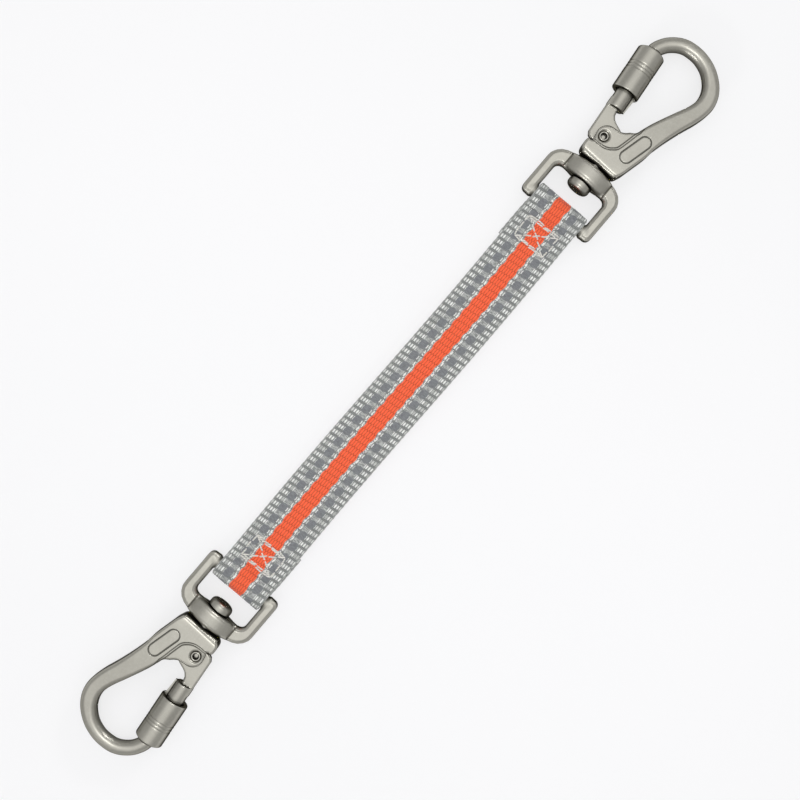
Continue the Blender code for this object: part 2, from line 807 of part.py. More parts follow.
def main():
    clear_scene()
    parts = new_collection("webbing_coupler_strap")
    casting = new_material("satin_casting", STEEL, 0.32, 1.0)
    steel = new_material("plated_steel", STEEL, 0.25, 1.0)
    spring = new_material("spring_wire", SPRING_STEEL, 0.35, 1.0)
    fabric = new_material("woven_webbing", ORANGE, 0.85, 0.0)
    thread = new_material("sewing_thread", WHITE_THREAD, 0.7, 0.0)
    meshes = {
        "swivel_eye": (swivel_eye(), casting, "eye"),
        "swivel_pin": (swivel_pin(), steel, "swivel"),
        "hook_body": (hook_body(), casting, "swivel"),
        "gate_rivet": (gate_rivet(), steel, "swivel"),
        "gate_spring": (gate_spring(), spring, "swivel"),
        "gate": (gate(), casting, "gate"),
        "gate_core": (gate_core(), steel, "gate"),
        "locking_sleeve": (locking_sleeve(), casting, "sleeve"),
        "sleeve_spring": (sleeve_spring(), spring, "sleeve"),
        "front_tack_stitching": (tack_stitching(1), thread, "end"),
        "back_tack_stitching": (tack_stitching(-1), thread, "end"),
    }
    build_end("right", 0.0, meshes, parts)
    build_end("left", math.pi, meshes, parts)
    middle = joint_empty("strap_middle", (0, 0, 0), parts)
    place("webbing_strap", strap(), fabric, middle, parts)
    middle.location.z = CENTRE_HEIGHT
    bpy.context.view_layer.update()


main()
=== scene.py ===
"""Looks of the webbing coupler strap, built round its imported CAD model.

Hardware is shaped in millimetres in one end's own frame: X runs out along the
strap, Y across it towards the gate, Z up from the hardware's middle plane.  The
other end is the same meshes turned by 180 degrees.  Each casting and turned piece
is a distance field, negative inside it, whose zero surface becomes its mesh.
"""

import json
import math
import random

import bmesh
import bpy
import numpy as np
from mathutils import Matrix, Vector


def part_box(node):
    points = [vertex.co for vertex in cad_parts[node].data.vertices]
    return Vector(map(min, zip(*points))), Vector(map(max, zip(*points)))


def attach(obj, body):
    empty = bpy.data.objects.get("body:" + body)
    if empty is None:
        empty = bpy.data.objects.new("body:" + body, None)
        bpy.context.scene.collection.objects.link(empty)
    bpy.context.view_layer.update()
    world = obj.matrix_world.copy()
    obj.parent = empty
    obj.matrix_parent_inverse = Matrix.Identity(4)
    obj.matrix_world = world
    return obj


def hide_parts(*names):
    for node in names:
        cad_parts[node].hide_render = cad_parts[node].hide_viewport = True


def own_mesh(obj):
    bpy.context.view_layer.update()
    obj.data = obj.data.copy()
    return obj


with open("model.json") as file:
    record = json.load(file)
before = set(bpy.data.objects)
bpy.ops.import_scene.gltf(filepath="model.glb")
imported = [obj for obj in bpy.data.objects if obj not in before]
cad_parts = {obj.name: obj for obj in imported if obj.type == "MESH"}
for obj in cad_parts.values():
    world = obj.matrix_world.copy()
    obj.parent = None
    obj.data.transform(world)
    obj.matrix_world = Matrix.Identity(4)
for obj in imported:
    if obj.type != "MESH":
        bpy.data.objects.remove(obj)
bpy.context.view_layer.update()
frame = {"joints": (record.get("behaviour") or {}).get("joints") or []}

MM = 0.001
JOINTS = {joint["name"]: joint for joint in frame["joints"]}


def joint_place(name):
    """A joint's place in the end's frame, in millimetres, on its middle plane."""
    x, y, _ = JOINTS[name]["pos_m"]
    return Vector((x / MM, y / MM, 0.0))


# ---- dimensions, in millimetres ------------------------------------------------------
CENTRE_HEIGHT = JOINTS["right_hook_swivel"]["pos_m"][2] / MM
BAR_X = joint_place("right_eye_swing").x
BODY_START = joint_place("right_hook_swivel").x
PIVOT = joint_place("right_gate_swing")
BARREL_ALONG = -Vector(JOINTS["right_sleeve_slide"]["axis"])
BARREL_ACROSS = Vector((-BARREL_ALONG.y, BARREL_ALONG.x, 0.0))
BARREL_OFFSET = 2.09  # how far the barrel's axis passes beside the pivot
BARREL_FOOT = PIVOT + BARREL_ACROSS * BARREL_OFFSET
SLEEVE_TRAVEL = JOINTS["right_sleeve_slide"]["range_m"][1] / MM
CLEARANCE = 0.3
STRAP_HALF_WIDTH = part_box("webbing_strap")[1].y / MM

# ---- distance fields: negative inside a shape, in millimetres ------------------------
SWEEP_WINDOW = 7.0  # a swept bar's stretch is measured only from this near
BEND_REACH = 0.4  # how far round a point its surface's turn is felt


def smooth_union(first, second, radius):
    """Both shapes, with a fillet about that wide where they meet."""
    share = np.clip(0.5 + 0.5 * (second - first) / radius, 0, 1)
    return second + (first - second) * share - radius * share * (1 - share)


def smooth_common(first, second, radius):
    """What lies in both shapes, with its new edge eased."""
    return -smooth_union(-first, -second, radius)


def smooth_cut(shape, cutter, radius):
    """The shape without the cutter, with the new edge eased."""
    return smooth_common(shape, -cutter, radius)


def rounded_common(first, second, radius):
    """Two crossing surfaces with a true round edge of that radius."""
    first = first + radius
    second = second + radius
    outside = np.hypot(np.maximum(first, 0), np.maximum(second, 0))
    return np.minimum(np.maximum(first, second), 0) + outside - radius


def smooth_step(low, high, value):
    share = np.clip((value - low) / (high - low), 0, 1)
    return share * share * (3 - 2 * share)


def outline_distance(x, y, outline):
    """Signed distance in the plane to a closed line of points."""
    x, y = np.broadcast_arrays(x, y)
    nearest = np.full(x.shape, 1e9)
    inside = np.zeros(x.shape, bool)
    for (ax, ay), (bx, by) in zip(outline, outline[1:] + outline[:1]):
        dx = bx - ax
        dy = by - ay
        share = np.clip(((x - ax) * dx + (y - ay) * dy) / (dx * dx + dy * dy), 0, 1)
        nearest = np.minimum(nearest, (x - ax - share * dx) ** 2 + (y - ay - share * dy) ** 2)
        if dy:
            inside ^= ((ay > y) != (by > y)) & (x < ax + dx * (y - ay) / dy)
    return np.where(inside, -1, 1) * np.sqrt(nearest)


def swept_section(x, y, stations, steps):
    """Distance aside from a bar's edge in plan, with its half height and edge radius.

    The stations along the bar are (x, y, half width, half height, edge radius).
    """
    line = spline_through(stations, steps)
    shape = np.broadcast(x, y).shape
    flat_x = np.broadcast_to(x, shape).ravel()
    flat_y = np.broadcast_to(y, shape).ravel()
    nearest = np.full(flat_x.shape, 50.0)
    section = np.repeat(np.array(stations[0][2:], float)[:, None], flat_x.size, 1)
    for start, end in zip(line, line[1:]):
        window = np.maximum(np.abs(flat_x - start[0]), np.abs(flat_y - start[1])) < SWEEP_WINDOW
        places = np.nonzero(window)[0]
        dx = end[0] - start[0]
        dy = end[1] - start[1]
        ahead = flat_x[places] - start[0]
        aside = flat_y[places] - start[1]
        share = np.clip((ahead * dx + aside * dy) / (dx * dx + dy * dy), 0, 1)
        away = np.hypot(ahead - share * dx, aside - share * dy)
        closer = away < nearest[places]
        places = places[closer]
        nearest[places] = away[closer]
        for index in range(3):
            slope = end[index + 2] - start[index + 2]
            section[index, places] = start[index + 2] + slope * share[closer]
    half_width, half_height, edge = section.reshape((3, *shape))
    return nearest.reshape(shape) - half_width, half_height, edge


def spline_through(points, steps, closed=False):
    """A smooth Catmull-Rom line through points of any number of values."""
    count = len(points)
    result = []
    for index in range(count if closed else count - 1):
        ring = []
        for offset in (-1, 0, 1, 2):
            place = index + offset
            place = place % count if closed else min(max(place, 0), count - 1)
            ring.append(points[place])
        for step in range(steps):
            t = step / steps
            result.append(tuple(blend_four(*values, t) for values in zip(*ring)))
    if not closed:
        result.append(tuple(points[-1]))
    return result


def blend_four(before, start, end, after, t):
    """The value at share t from start to end of a smooth line through all four."""
    slope = end - before
    bend = 2 * before - 5 * start + 4 * end - after
    twist = 3 * start - before - 3 * end + after
    return 0.5 * (2 * start + slope * t + bend * t * t + twist * t**3)


def arc(centre, radius, start_deg, end_deg, steps):
    points = []
    for step in range(steps + 1):
        angle = math.radians(start_deg + (end_deg - start_deg) * step / steps)
        points.append((centre[0] + radius * math.cos(angle), centre[1] + radius * math.sin(angle)))
    return points


def barrel_places(x, y):
    """Distance along the gate's barrel from beside the pivot, and off its axis."""
    along = (x - BARREL_FOOT.x) * BARREL_ALONG.x + (y - BARREL_FOOT.y) * BARREL_ALONG.y
    aside = (x - BARREL_FOOT.x) * BARREL_ACROSS.x + (y - BARREL_FOOT.y) * BARREL_ACROSS.y
    return along, aside


# ---- a distance field's surface as a mesh --------------------------------------------
def field_mesh(name, field, low, high, step):
    """A mesh of quads on the field's zero surface, with the field's own normals."""
    axes = [np.arange(start, end + step, step) for start, end in zip(low, high)]
    x, y, z = np.meshgrid(*axes, indexing="ij", sparse=True)
    values = np.broadcast_to(field(x, y, z), [len(axis) for axis in axes])
    inside = values < 0
    cells = tuple(size - 1 for size in values.shape)
    total = np.zeros((*cells, 3))
    count = np.zeros(cells)
    crossings = []
    for axis in range(3):
        near = [slice(None)] * 3
        far = [slice(None)] * 3
        near[axis] = slice(None, -1)
        far[axis] = slice(1, None)
        near = tuple(near)
        far = tuple(far)
        cross = inside[near] != inside[far]
        where = np.nonzero(cross)
        start = values[near][where]
        share = start / (start - values[far][where])
        point = np.stack([axes[n][where[n]] for n in range(3)], -1)
        point[:, axis] += share * step
        crossings.append((axis, where, inside[near][where]))
        others = [n for n in range(3) if n != axis]
        for shift in ((0, 0), (0, 1), (1, 0), (1, 1)):
            cell = list(where)
            keep = np.ones(len(share), bool)
            for other, back in zip(others, shift):
                cell[other] = cell[other] - back
                keep &= (cell[other] >= 0) & (cell[other] < cells[other])
            cell = tuple(part[keep] for part in cell)
            np.add.at(total, cell, point[keep])
            np.add.at(count, cell, 1)
    used = count > 0
    number = np.full(cells, -1)
    number[used] = np.arange(used.sum())
    points = total[used] / count[used][:, None]
    faces = []
    for axis, where, starts_inside in crossings:
        one, two = [(axis + 1) % 3, (axis + 2) % 3]
        corners = []
        for back_one, back_two in ((1, 1), (0, 1), (0, 0), (1, 0)):
            cell = list(where)
            cell[one] = cell[one] - back_one
            cell[two] = cell[two] - back_two
            corners.append(number[tuple(cell)])
        quad = np.stack(corners, -1)
        quad[~starts_inside] = quad[~starts_inside][:, ::-1]
        faces.append(quad)
    faces = np.concatenate(faces)
    points = settle(field, points, step)
    mesh = fine_mesh(name, points, faces, field_normals(field, points, step / 4))
    bend = mesh.attributes.new("bend", "FLOAT", "POINT")
    bend.data.foreach_set("value", field_bend(field, points).astype(np.float32))
    return mesh


def settle(field, points, step):
    """Moves points near the field's surface onto it."""
    reach = step / 10
    for _ in range(3):
        value = field(*points.T)
        slope = np.zeros_like(points)
        for axis in range(3):
            moved = points.copy()
            moved[:, axis] += reach
            slope[:, axis] = (field(*moved.T) - value) / reach
        steep = np.maximum((slope**2).sum(1), 0.1)
        move = slope * (value / steep)[:, None]
        length = np.linalg.norm(move, axis=1)[:, None]
        points = points - move * np.minimum(1, step / np.maximum(length, 1e-9))
    return points


def field_normals(field, points, reach):
    """The surface's outward direction at each point."""
    slope = np.zeros_like(points)
    for axis in range(3):
        ahead = points.copy()
        behind = points.copy()
        ahead[:, axis] += reach
        behind[:, axis] -= reach
        slope[:, axis] = field(*ahead.T) - field(*behind.T)
    return slope / np.maximum(np.linalg.norm(slope, axis=1), 1e-9)[:, None]


def field_bend(field, points):
    """How much the surface turns there: above 0 on an outer edge, below 0 in a crease."""
    around = np.zeros(len(points))
    for axis in range(3):
        for side in (BEND_REACH, -BEND_REACH):
            moved = points.copy()
            moved[:, axis] += side
            around += field(*moved.T)
    return around / (6 * BEND_REACH)


def fine_mesh(name, points, faces, normals=None):
    """A smooth-shaded mesh in metres from millimetre points and faces of four."""
    mesh = bpy.data.meshes.new(name)
    mesh.vertices.add(len(points))
    mesh.vertices.foreach_set("co", (points * MM).astype(np.float32).ravel())
    mesh.loops.add(faces.size)
    mesh.loops.foreach_set("vertex_index", faces.astype(np.int32).ravel())
    mesh.polygons.add(len(faces))
    mesh.polygons.foreach_set("loop_start", np.arange(0, faces.size, 4, dtype=np.int32))
    mesh.update(calc_edges=True)
    mesh.validate()
    mesh.shade_smooth()
    if normals is not None:
        mesh.normals_split_custom_set_from_vertices(normals)
    return mesh


# ---- the castings' shapes ------------------------------------------------------------
BAR_RADIUS = 2.1
EYE_HALF_HEIGHT = 2.3
BOSS_NEAR, BOSS_FAR = 91.1, 97.2
BOSS_HALF_WIDTH = 7.8
BOSS_HALF_HEIGHT = 4.75
BOSS_ROUNDING = 1.7
EYE_HALF_WIDTH = 14.15
EYE_ROUNDING = 1.2
EYE_END = 76.85
LEG_INSIDE = 10.1
LEG_END_RADIUS = 1.8
ARCH_INSIDE = 91.0
WINDOW_CORNER = 1.9
DIP_BESIDE_BOSS = 0.5
MARGIN_DEPTH = 0.16
PIN_RADIUS = 2.0
PIN_CLEARANCE = 0.4
PIN_HOLE_END = 102.5


def eye_field(x, y, z):
    """The D-shaped eye: round bar, two legs with flat tops, an arch with a lens boss."""
    side = np.abs(y)
    outline = [(BOSS_FAR, -1.0), (97.15, 4.0), (97.0, 6.0), (96.7, 8.0), (96.05, 10.2), (95.15, 11.9)]
    outline += [(93.75, 13.2), (92.15, 14.0), (90.6, EYE_HALF_WIDTH)]
    outline += arc((EYE_END + LEG_END_RADIUS, EYE_HALF_WIDTH - LEG_END_RADIUS), LEG_END_RADIUS, 90, 180, 8)
    outline += [(EYE_END, 10.6), (77.4, LEG_INSIDE), (80.5, LEG_INSIDE)]
    corner = (ARCH_INSIDE - WINDOW_CORNER, LEG_INSIDE - WINDOW_CORNER)
    outline += arc(corner, WINDOW_CORNER, 90, 0, 8) + [(ARCH_INSIDE, -1.0)]
    plate = outline_distance(x, side, outline)
    top = EYE_HALF_HEIGHT - DIP_BESIDE_BOSS * smooth_step(8.5, 7.9, side)
    top = top - MARGIN_DEPTH * smooth_step(-1.3, -0.8, plate)
    frame_part = rounded_common(plate, np.abs(z) - top, EYE_ROUNDING)
    bar = np.hypot(x - BAR_X, z) - BAR_RADIUS
    bar = rounded_common(bar, side - 12.2, 1.6)
    ring = smooth_union(frame_part, bar, 1.0)
    rise = BOSS_HALF_HEIGHT - EYE_HALF_HEIGHT + 0.6
    radius = (BOSS_HALF_WIDTH**2 + rise**2) / (2 * rise)
    lens = np.hypot(y, np.abs(z) + radius - BOSS_HALF_HEIGHT) - radius
    slab = np.abs(x - (BOSS_NEAR + BOSS_FAR) / 2) - (BOSS_FAR - BOSS_NEAR) / 2
    boss = rounded_common(lens, slab, BOSS_ROUNDING)
    boss = rounded_common(boss, side - BOSS_HALF_WIDTH - 0.6, 0.4)
    shape = smooth_union(ring, boss, 0.3)
    hole = np.hypot(y, z) - PIN_RADIUS - PIN_CLEARANCE
    return smooth_cut(shape, hole, 0.25)


BODY_HALF_HEIGHT = 4.0
EAR_HALF_HEIGHT = 3.3
SLOT_HALF_HEIGHT = 1.6
BOW_RADIUS = 2.5
NOSE_REACH = 32.75  # from the pivot to the nose's end face
RIVET_RADIUS = 1.2

# The spine and bow: x, y, half width, half height and edge radius.
SPINE = [
    (103.0, -4.7, 4.0, 4.0, 1.0),
    (109.5, -6.2, 4.1, 4.0, 1.0),
    (114.0, -7.2, 3.85, 3.95, 1.1),
    (118.0, -8.35, 3.65, 3.8, 1.25),
    (122.0, -9.75, 3.4, 3.6, 1.4),
    (126.0, -11.3, 3.2, 3.3, 1.6),
    (130.0, -12.95, 3.05, 3.05, 1.7),
    (133.5, -13.97, 2.95, 2.9, 1.8),
    (136.5, -14.16, 2.95, 2.8, 1.9),
    (139.6, -13.3, 2.85, 2.7, 2.0),
    (142.6, -11.2, 2.7, 2.6, 2.2),
    (145.3, -7.6, 2.55, 2.55, 2.4),
    (146.73, -3.2, BOW_RADIUS, BOW_RADIUS, BOW_RADIUS),
    (146.77, 1.0, BOW_RADIUS, BOW_RADIUS, BOW_RADIUS),
    (146.0, 3.9, BOW_RADIUS, BOW_RADIUS, BOW_RADIUS),
    (144.3, 6.5, BOW_RADIUS, BOW_RADIUS, BOW_RADIUS),
    (142.2, 8.4, BOW_RADIUS, BOW_RADIUS, BOW_RADIUS),
    (139.2, 9.75, BOW_RADIUS, BOW_RADIUS, BOW_RADIUS),
    (136.0, 9.6, BOW_RADIUS, BOW_RADIUS, BOW_RADIUS),
]

BLOCK_CORNERS = [
    (BODY_START, -5.6),
    (98.3, -7.0),
    (99.4, -7.7),
    (103.0, -8.3),
    (107.0, -9.15),
    (112.0, -10.2),
    (114.0, -7.0),
    (113.4, -2.3),
    (112.1, -0.6),
    (111.2, 0.9),
    (110.9, 3.0),
    (110.7, 4.35),
    (110.05, 5.65),
    (109.05, 6.55),
    (107.7, 7.0),
    (106.2, 6.85),
    (104.6, 6.5),
    (103.2, 6.3),
    (102.9, 7.5),
    (102.3, 7.9),
    (100.6, 7.9),
    (99.3, 7.5),
    (98.4, 6.6),
    (BODY_START, 5.2),
]

EAR_EDGE = [
    (103.4, 8.2),
    (103.4, 6.1),
    (103.45, 2.75),
    (104.0, 0.7),
    (105.05, -0.8),
    (106.2, -1.85),
    (108.1, -2.4),
    (110.75, -3.0),
    (112.75, -3.4),
    (114.7, -3.95),
]

SLOT = [(102.8, 15.0)] + arc(PIVOT, 3.7, 180, 270, 6) + [(108.4, -1.8), (118.0, -3.0), (118.0, 15.0)]
RECESS_ENDS = ((105.8, -5.55), (113.1, -7.35))
RECESS_RADIUS = 2.12
RECESS_DEPTH = 0.25
GROOVE_IN_RECESS = 0.22
BAND_START, BAND_LEAN, BAND_SLOPE = 99.3, 0.04, 0.62
BLOCK = spline_through(BLOCK_CORNERS, 3, closed=True)
EAR_STEP = spline_through(EAR_EDGE, 4) + [(125.0, -3.95), (125.0, 15.0), (103.4, 15.0)]


def hook_field(x, y, z):
    """The hook: a block with two ears, a stepped face, a spine, a round bow and a nose."""
    high = np.abs(z)
    beside, top, edge = swept_section(x, y, SPINE, 8)
    plan = smooth_union(outline_distance(x, y, BLOCK), beside, 1.4)
    step = outline_distance(x, y, EAR_STEP)
    drop = (BODY_HALF_HEIGHT - EAR_HALF_HEIGHT) / 2
    top = top - drop * (smooth_step(0.55, 0.15, step) + smooth_step(-0.15, -0.55, step))
    band = BAND_START + BAND_LEAN * y - x
    top = top - BAND_SLOPE * (band + np.sqrt(band * band + 0.15)) / 2
    shape = rounded_common(plan, (high - top) * 0.93, edge)
    from_pivot = np.hypot(x - PIVOT.x, y - PIVOT.y)
    before_nose = np.maximum(from_pivot - NOSE_REACH, np.maximum(4.0 - y, 130.0 - x))
    shape = smooth_cut(shape, before_nose, 0.2)
    slot = np.maximum(outline_distance(x, y, SLOT), high - SLOT_HALF_HEIGHT)
    shape = smooth_cut(shape, slot, 0.25)
    shape = smooth_cut(shape, from_pivot - RIVET_RADIUS - CLEARANCE, 0.2)
    sink = (from_pivot - 2.25 + (EAR_HALF_HEIGHT - high) * 1.1) * 0.67
    shape = smooth_cut(shape, sink, 0.2)
    hole = np.maximum(np.hypot(y, z) - PIN_RADIUS - CLEARANCE, x - PIN_HOLE_END)
    shape = smooth_cut(shape, hole, 0.3)
    start, end = RECESS_ENDS
    share = (x - start[0]) * (end[0] - start[0]) + (y - start[1]) * (end[1] - start[1])
    share = np.clip(share / math.dist(start, end) ** 2, 0, 1)
    ahead = x - start[0] - share * (end[0] - start[0])
    away = np.hypot(ahead, y - start[1] - share * (end[1] - start[1])) - RECESS_RADIUS
    shape = smooth_cut(shape, np.maximum(away, BODY_HALF_HEIGHT - RECESS_DEPTH - z), 0.2)
    return smooth_cut(shape, np.hypot(away + 0.12, z - BODY_HALF_HEIGHT + 0.15) - GROOVE_IN_RECESS, 0.12)


TONGUE_HALF_HEIGHT = 1.3
NECK_RADIUS = 3.0
NECK_START, NECK_END = 10.1, 18.9
RIB_REACH, RIB_RISE, RIB_HALF_WIDTH = 3.42, 0.09, 0.7
RIB_START, RIB_END = 10.3, 17.1
CORE_RADIUS, CORE_START = 1.7, 13.4

TONGUE = [(104.3, 8.45), (103.7, 7.3)] + arc(PIVOT, 3.2, 180, 300, 10)
TONGUE += [(111.8, 0.8), (112.3, 2.0), (112.8, 3.5), (113.5, 4.8), (114.5, 5.7), (115.8, 6.1)]
TONGUE += [(118.6, 6.1), (118.6, 10.6), (115.6, 10.4), (105.5, 9.3)]
POCKET = arc(PIVOT, 3.6, 50, 330, 18) + [(110.8, 3.0), (110.8, 5.5)]


def gate_field(x, y, z):
    """The gate: a flat tongue on the rivet, a round neck and its guide rib."""
    along, aside = barrel_places(x, y)
    plate = rounded_common(outline_distance(x, y, TONGUE), np.abs(z) - TONGUE_HALF_HEIGHT, 0.8)
    off_axis = np.hypot(aside, z)
    ends = np.maximum(NECK_START - along, along - NECK_END)
    neck = rounded_common(off_axis - NECK_RADIUS, ends, 0.45)
    rib_reach = RIB_REACH + RIB_RISE * (along - RIB_START)
    rib = np.maximum(np.maximum(-aside - rib_reach, aside), np.abs(z) - RIB_HALF_WIDTH)
    rib = rounded_common(rib, np.maximum(RIB_START - along, along - RIB_END), 0.2)
    shape = smooth_union(smooth_union(plate, neck, 0.7), rib, 0.25)
    shape = smooth_cut(shape, np.maximum(off_axis - CORE_RADIUS - CLEARANCE, CORE_START - along), 0.15)
    from_pivot = np.hypot(x - PIVOT.x, y - PIVOT.y)
    shape = smooth_cut(shape, from_pivot - RIVET_RADIUS - CLEARANCE, 0.15)
    return smooth_cut(shape, np.maximum(outline_distance(x, y, POCKET), z + 0.1), 0.15)


SLEEVE_RADIUS = 4.85
SLEEVE_START, SLEEVE_SHOULDER = 16.1, 31.5
MOUTH_REACH = 32.6  # from the pivot to the sleeve's mouth, just short of the nose
MOUTH_RADIUS, CORE_HEAD_RADIUS, CORE_HEAD_START = 3.1, 2.4, 30.6
SLEEVE_BORE, SLEEVE_CHAMBER = 3.4, 3.8
SLEEVE_FLANGE = 1.3  # the wall that the spring pushes and the core's head stops
GROOVES = [23.7, 24.8, 25.9]
GROOVE_DEPTH, GROOVE_HALF_WIDTH = 0.13, 0.3
KEYWAY_REACH, KEYWAY_HALF_WIDTH, KEYWAY_END = 4.3, 1.0, 21.7


def sleeve_field(x, y, z):
    """The locking sleeve on its own axis: Z out along the barrel, Y across it."""
    off_axis = np.hypot(x, y)
    outer = off_axis - SLEEVE_RADIUS
    for groove in GROOVES:
        outer = outer + GROOVE_DEPTH * np.exp(-(((z - groove) / GROOVE_HALF_WIDTH) ** 2) * 1.4)
    slope = math.atan2(SLEEVE_RADIUS - MOUTH_RADIUS, MOUTH_REACH - SLEEVE_SHOULDER)
    cone = (off_axis - SLEEVE_RADIUS) * math.cos(slope) + (z - SLEEVE_SHOULDER) * math.sin(slope)
    outer = smooth_common(outer, cone, 0.3)
    mouth = np.hypot(z, y + BARREL_OFFSET) - MOUTH_REACH
    shape = rounded_common(smooth_common(outer, mouth, 0.2), SLEEVE_START - z, 0.3)
    bore = off_axis - SLEEVE_BORE - (SLEEVE_CHAMBER - SLEEVE_BORE) * smooth_step(18.4, 18.9, z)
    flange = CORE_HEAD_START - CLEARANCE
    bore = np.maximum(bore, z - flange + SLEEVE_FLANGE)
    shape = smooth_cut(shape, bore, 0.3)
    shape = smooth_cut(shape, off_axis - CORE_RADIUS - 0.4, 0.1)
    shape = smooth_cut(shape, np.maximum(off_axis - CORE_HEAD_RADIUS - CLEARANCE, flange - z), 0.12)
    keyway = np.maximum(np.abs(x) - KEYWAY_HALF_WIDTH, np.maximum(-y - KEYWAY_REACH, y))
    return smooth_cut(shape, np.maximum(keyway, z - KEYWAY_END), 0.2)


PIN_HEAD_RADIUS, PIN_HEAD_NEAR, PIN_END = 4.05, 87.9, 102.2


def pin_field(x, y, z):
    """The swivel pin: a domed head inside the eye and a shank into the hook."""
    off_axis = np.hypot(y, z)
    crown = PIN_HEAD_NEAR + 0.035 * np.maximum(off_axis - 1.5, 0) ** 2
    head = rounded_common(off_axis - PIN_HEAD_RADIUS, crown - x, 1.3)
    head = smooth_common(head, x - BOSS_NEAR + PIN_CLEARANCE, 0.3)
    shank = rounded_common(off_axis - PIN_RADIUS, x - PIN_END, 0.3)
    return smooth_union(head, np.maximum(shank, PIN_HEAD_NEAR + 1 - x), 0.3)


def rivet_field(x, y, z):
    """The semi-tubular rivet on its own axis: rolled over in front, solid behind."""
    off_axis = np.hypot(x, y)
    high = np.abs(z)
    end = EAR_HALF_HEIGHT - 0.15
    rim = np.hypot(off_axis - 1.28, high - end + 0.28) - 0.28
    tube = rounded_common(off_axis - RIVET_RADIUS, high - end + 0.1, 0.1)
    bore = np.maximum(off_axis - 0.85 - 0.25 * smooth_step(end - 0.7, end, z), 1.6 - z)
    return smooth_cut(smooth_union(tube, rim, 0.15), bore, 0.08)


def core_field(x, y, z):
    """The headed rod in the neck, on the barrel's axis, which stops the sleeve."""
    off_axis = np.hypot(x, y)
    mouth = np.hypot(z, y + BARREL_OFFSET) - MOUTH_REACH + 0.15
    head = rounded_common(off_axis - CORE_HEAD_RADIUS, np.maximum(mouth, CORE_HEAD_START - z), 0.25)
    rod = np.maximum(off_axis - CORE_RADIUS, np.maximum(CORE_START - z, z - CORE_HEAD_START - 1))
    return smooth_union(head, rod, 0.3)


# ---- wires and thread ------------------------------------------------------------------
def tube_mesh(name, lines, radius, sides=12):
    """Round tubes along lines of millimetre points, as one mesh with rounded ends."""
    points = []
    faces = []
    base = 0
    for line in lines:
        line = np.array(line, float)
        ahead = np.gradient(line, axis=0)
        ahead /= np.linalg.norm(ahead, axis=1)[:, None]
        side = np.cross(ahead[0], (0.3, 0.2, 0.93))
        rings = []
        for index, centre in enumerate(line):
            side = side - ahead[index] * side.dot(ahead[index])
            side /= np.linalg.norm(side)
            up = np.cross(ahead[index], side)
            near_end = index in (0, len(line) - 1)
            wide = radius * (0.45 if near_end else 1.0)
            for step in range(sides):
                angle = 2 * math.pi * step / sides
                rings.append(centre + wide * (side * math.cos(angle) + up * math.sin(angle)))
        points.extend(rings)
        for index in range(len(line) - 1):
            for step in range(sides):
                after = (step + 1) % sides
                here = base + index * sides
                faces.append((here + step, here + after, here + sides + after, here + sides + step))
        last = base + (len(line) - 1) * sides
        for step in range(1, sides // 2):
            for start, turn in ((base, -1), (last, 1)):
                quad = (start + step - 1, start + step, start + sides - step - 1, start + sides - step)
                faces.append(quad if turn > 0 else quad[::-1])
        base += len(rings)
    return fine_mesh(name, np.array(points), np.array(faces))


SPRING_END = CORE_HEAD_START - 1.9


def sleeve_spring_mesh():
    """The compression spring in the sleeve, with closed end turns."""
    turns = 8
    per_turn = 24
    wire = 0.35
    coil = 2.7
    start = NECK_END + CLEARANCE + wire
    end = SPRING_END - wire
    line = []
    for step in range(turns * per_turn + 1):
        share = step / (turns * per_turn)
        flat = smooth_step(0.09, 0.91, share)
        angle = 2 * math.pi * turns * share
        line.append((coil * math.cos(angle), coil * math.sin(angle), start + (end - start) * flat))
    return tube_mesh("sleeve_spring", [line], wire)


def gate_spring_mesh():
    """The torsion spring round the rivet, with a leg on the block and one on the gate."""
    wire = 0.22
    low = -TONGUE_HALF_HEIGHT + wire
    rise = 2.5 * wire
    steps = 60
    line = [(103.6, 4.1, low), (103.9, 3.8, low), (104.2, 3.5, low)]
    for index, (x, y) in enumerate(arc(PIVOT, 2.1, 225, 630, steps)):
        line.append((x, y, low + rise * index / steps))
    line += [(108.3, 2.5, low + rise), (109.1, 3.4, low + rise), (109.8, 4.3, low + rise)]
    return tube_mesh("gate_spring", [line], wire)


# ---- the webbing -------------------------------------------------------------------------
class Field:
    """A number in a shader that follows Python's arithmetic."""

    def __init__(self, tree, socket):
        self.tree = tree
        self.socket = socket

    def __add__(self, other):
        return in_nodes("ADD", self, other)

    def __sub__(self, other):
        return in_nodes("SUBTRACT", self, other)

    def __mul__(self, other):
        return in_nodes("MULTIPLY", self, other)

    def __radd__(self, other):
        return in_nodes("ADD", other, self)

    def __rsub__(self, other):
        return in_nodes("SUBTRACT", other, self)

    def __rmul__(self, other):
        return in_nodes("MULTIPLY", other, self)

    def __truediv__(self, other):
        return in_nodes("DIVIDE", self, other)


def in_nodes(operation, *values):
    tree = next(value.tree for value in values if isinstance(value, Field))
    node = tree.nodes.new("ShaderNodeMath")
    node.operation = operation
    for place, value in zip(node.inputs, values):
        if isinstance(value, Field):
            tree.links.new(value.socket, place)
        else:
            place.default_value = value
    return Field(tree, node.outputs[0])


def in_both(operation, in_numpy):
    """A function that works on arrays, for shapes, and on Fields, for materials."""

    def apply(*values):
        if any(isinstance(value, Field) for value in values):
            return in_nodes(operation, *values)
        return in_numpy(*values)

    return apply


floor = in_both("FLOOR", np.floor)
larger = in_both("MAXIMUM", np.maximum)
smaller = in_both("MINIMUM", np.minimum)
size = in_both("ABSOLUTE", np.abs)
cosine = in_both("COSINE", np.cos)
remainder = in_both("FLOORED_MODULO", np.mod)


def ramp(value, low, high):
    """0 below low, 1 above high, smooth between; high may be the smaller."""
    share = smaller(larger((value - low) / (high - low), 0.0), 1.0)
    return share * share * (3.0 - 2.0 * share)


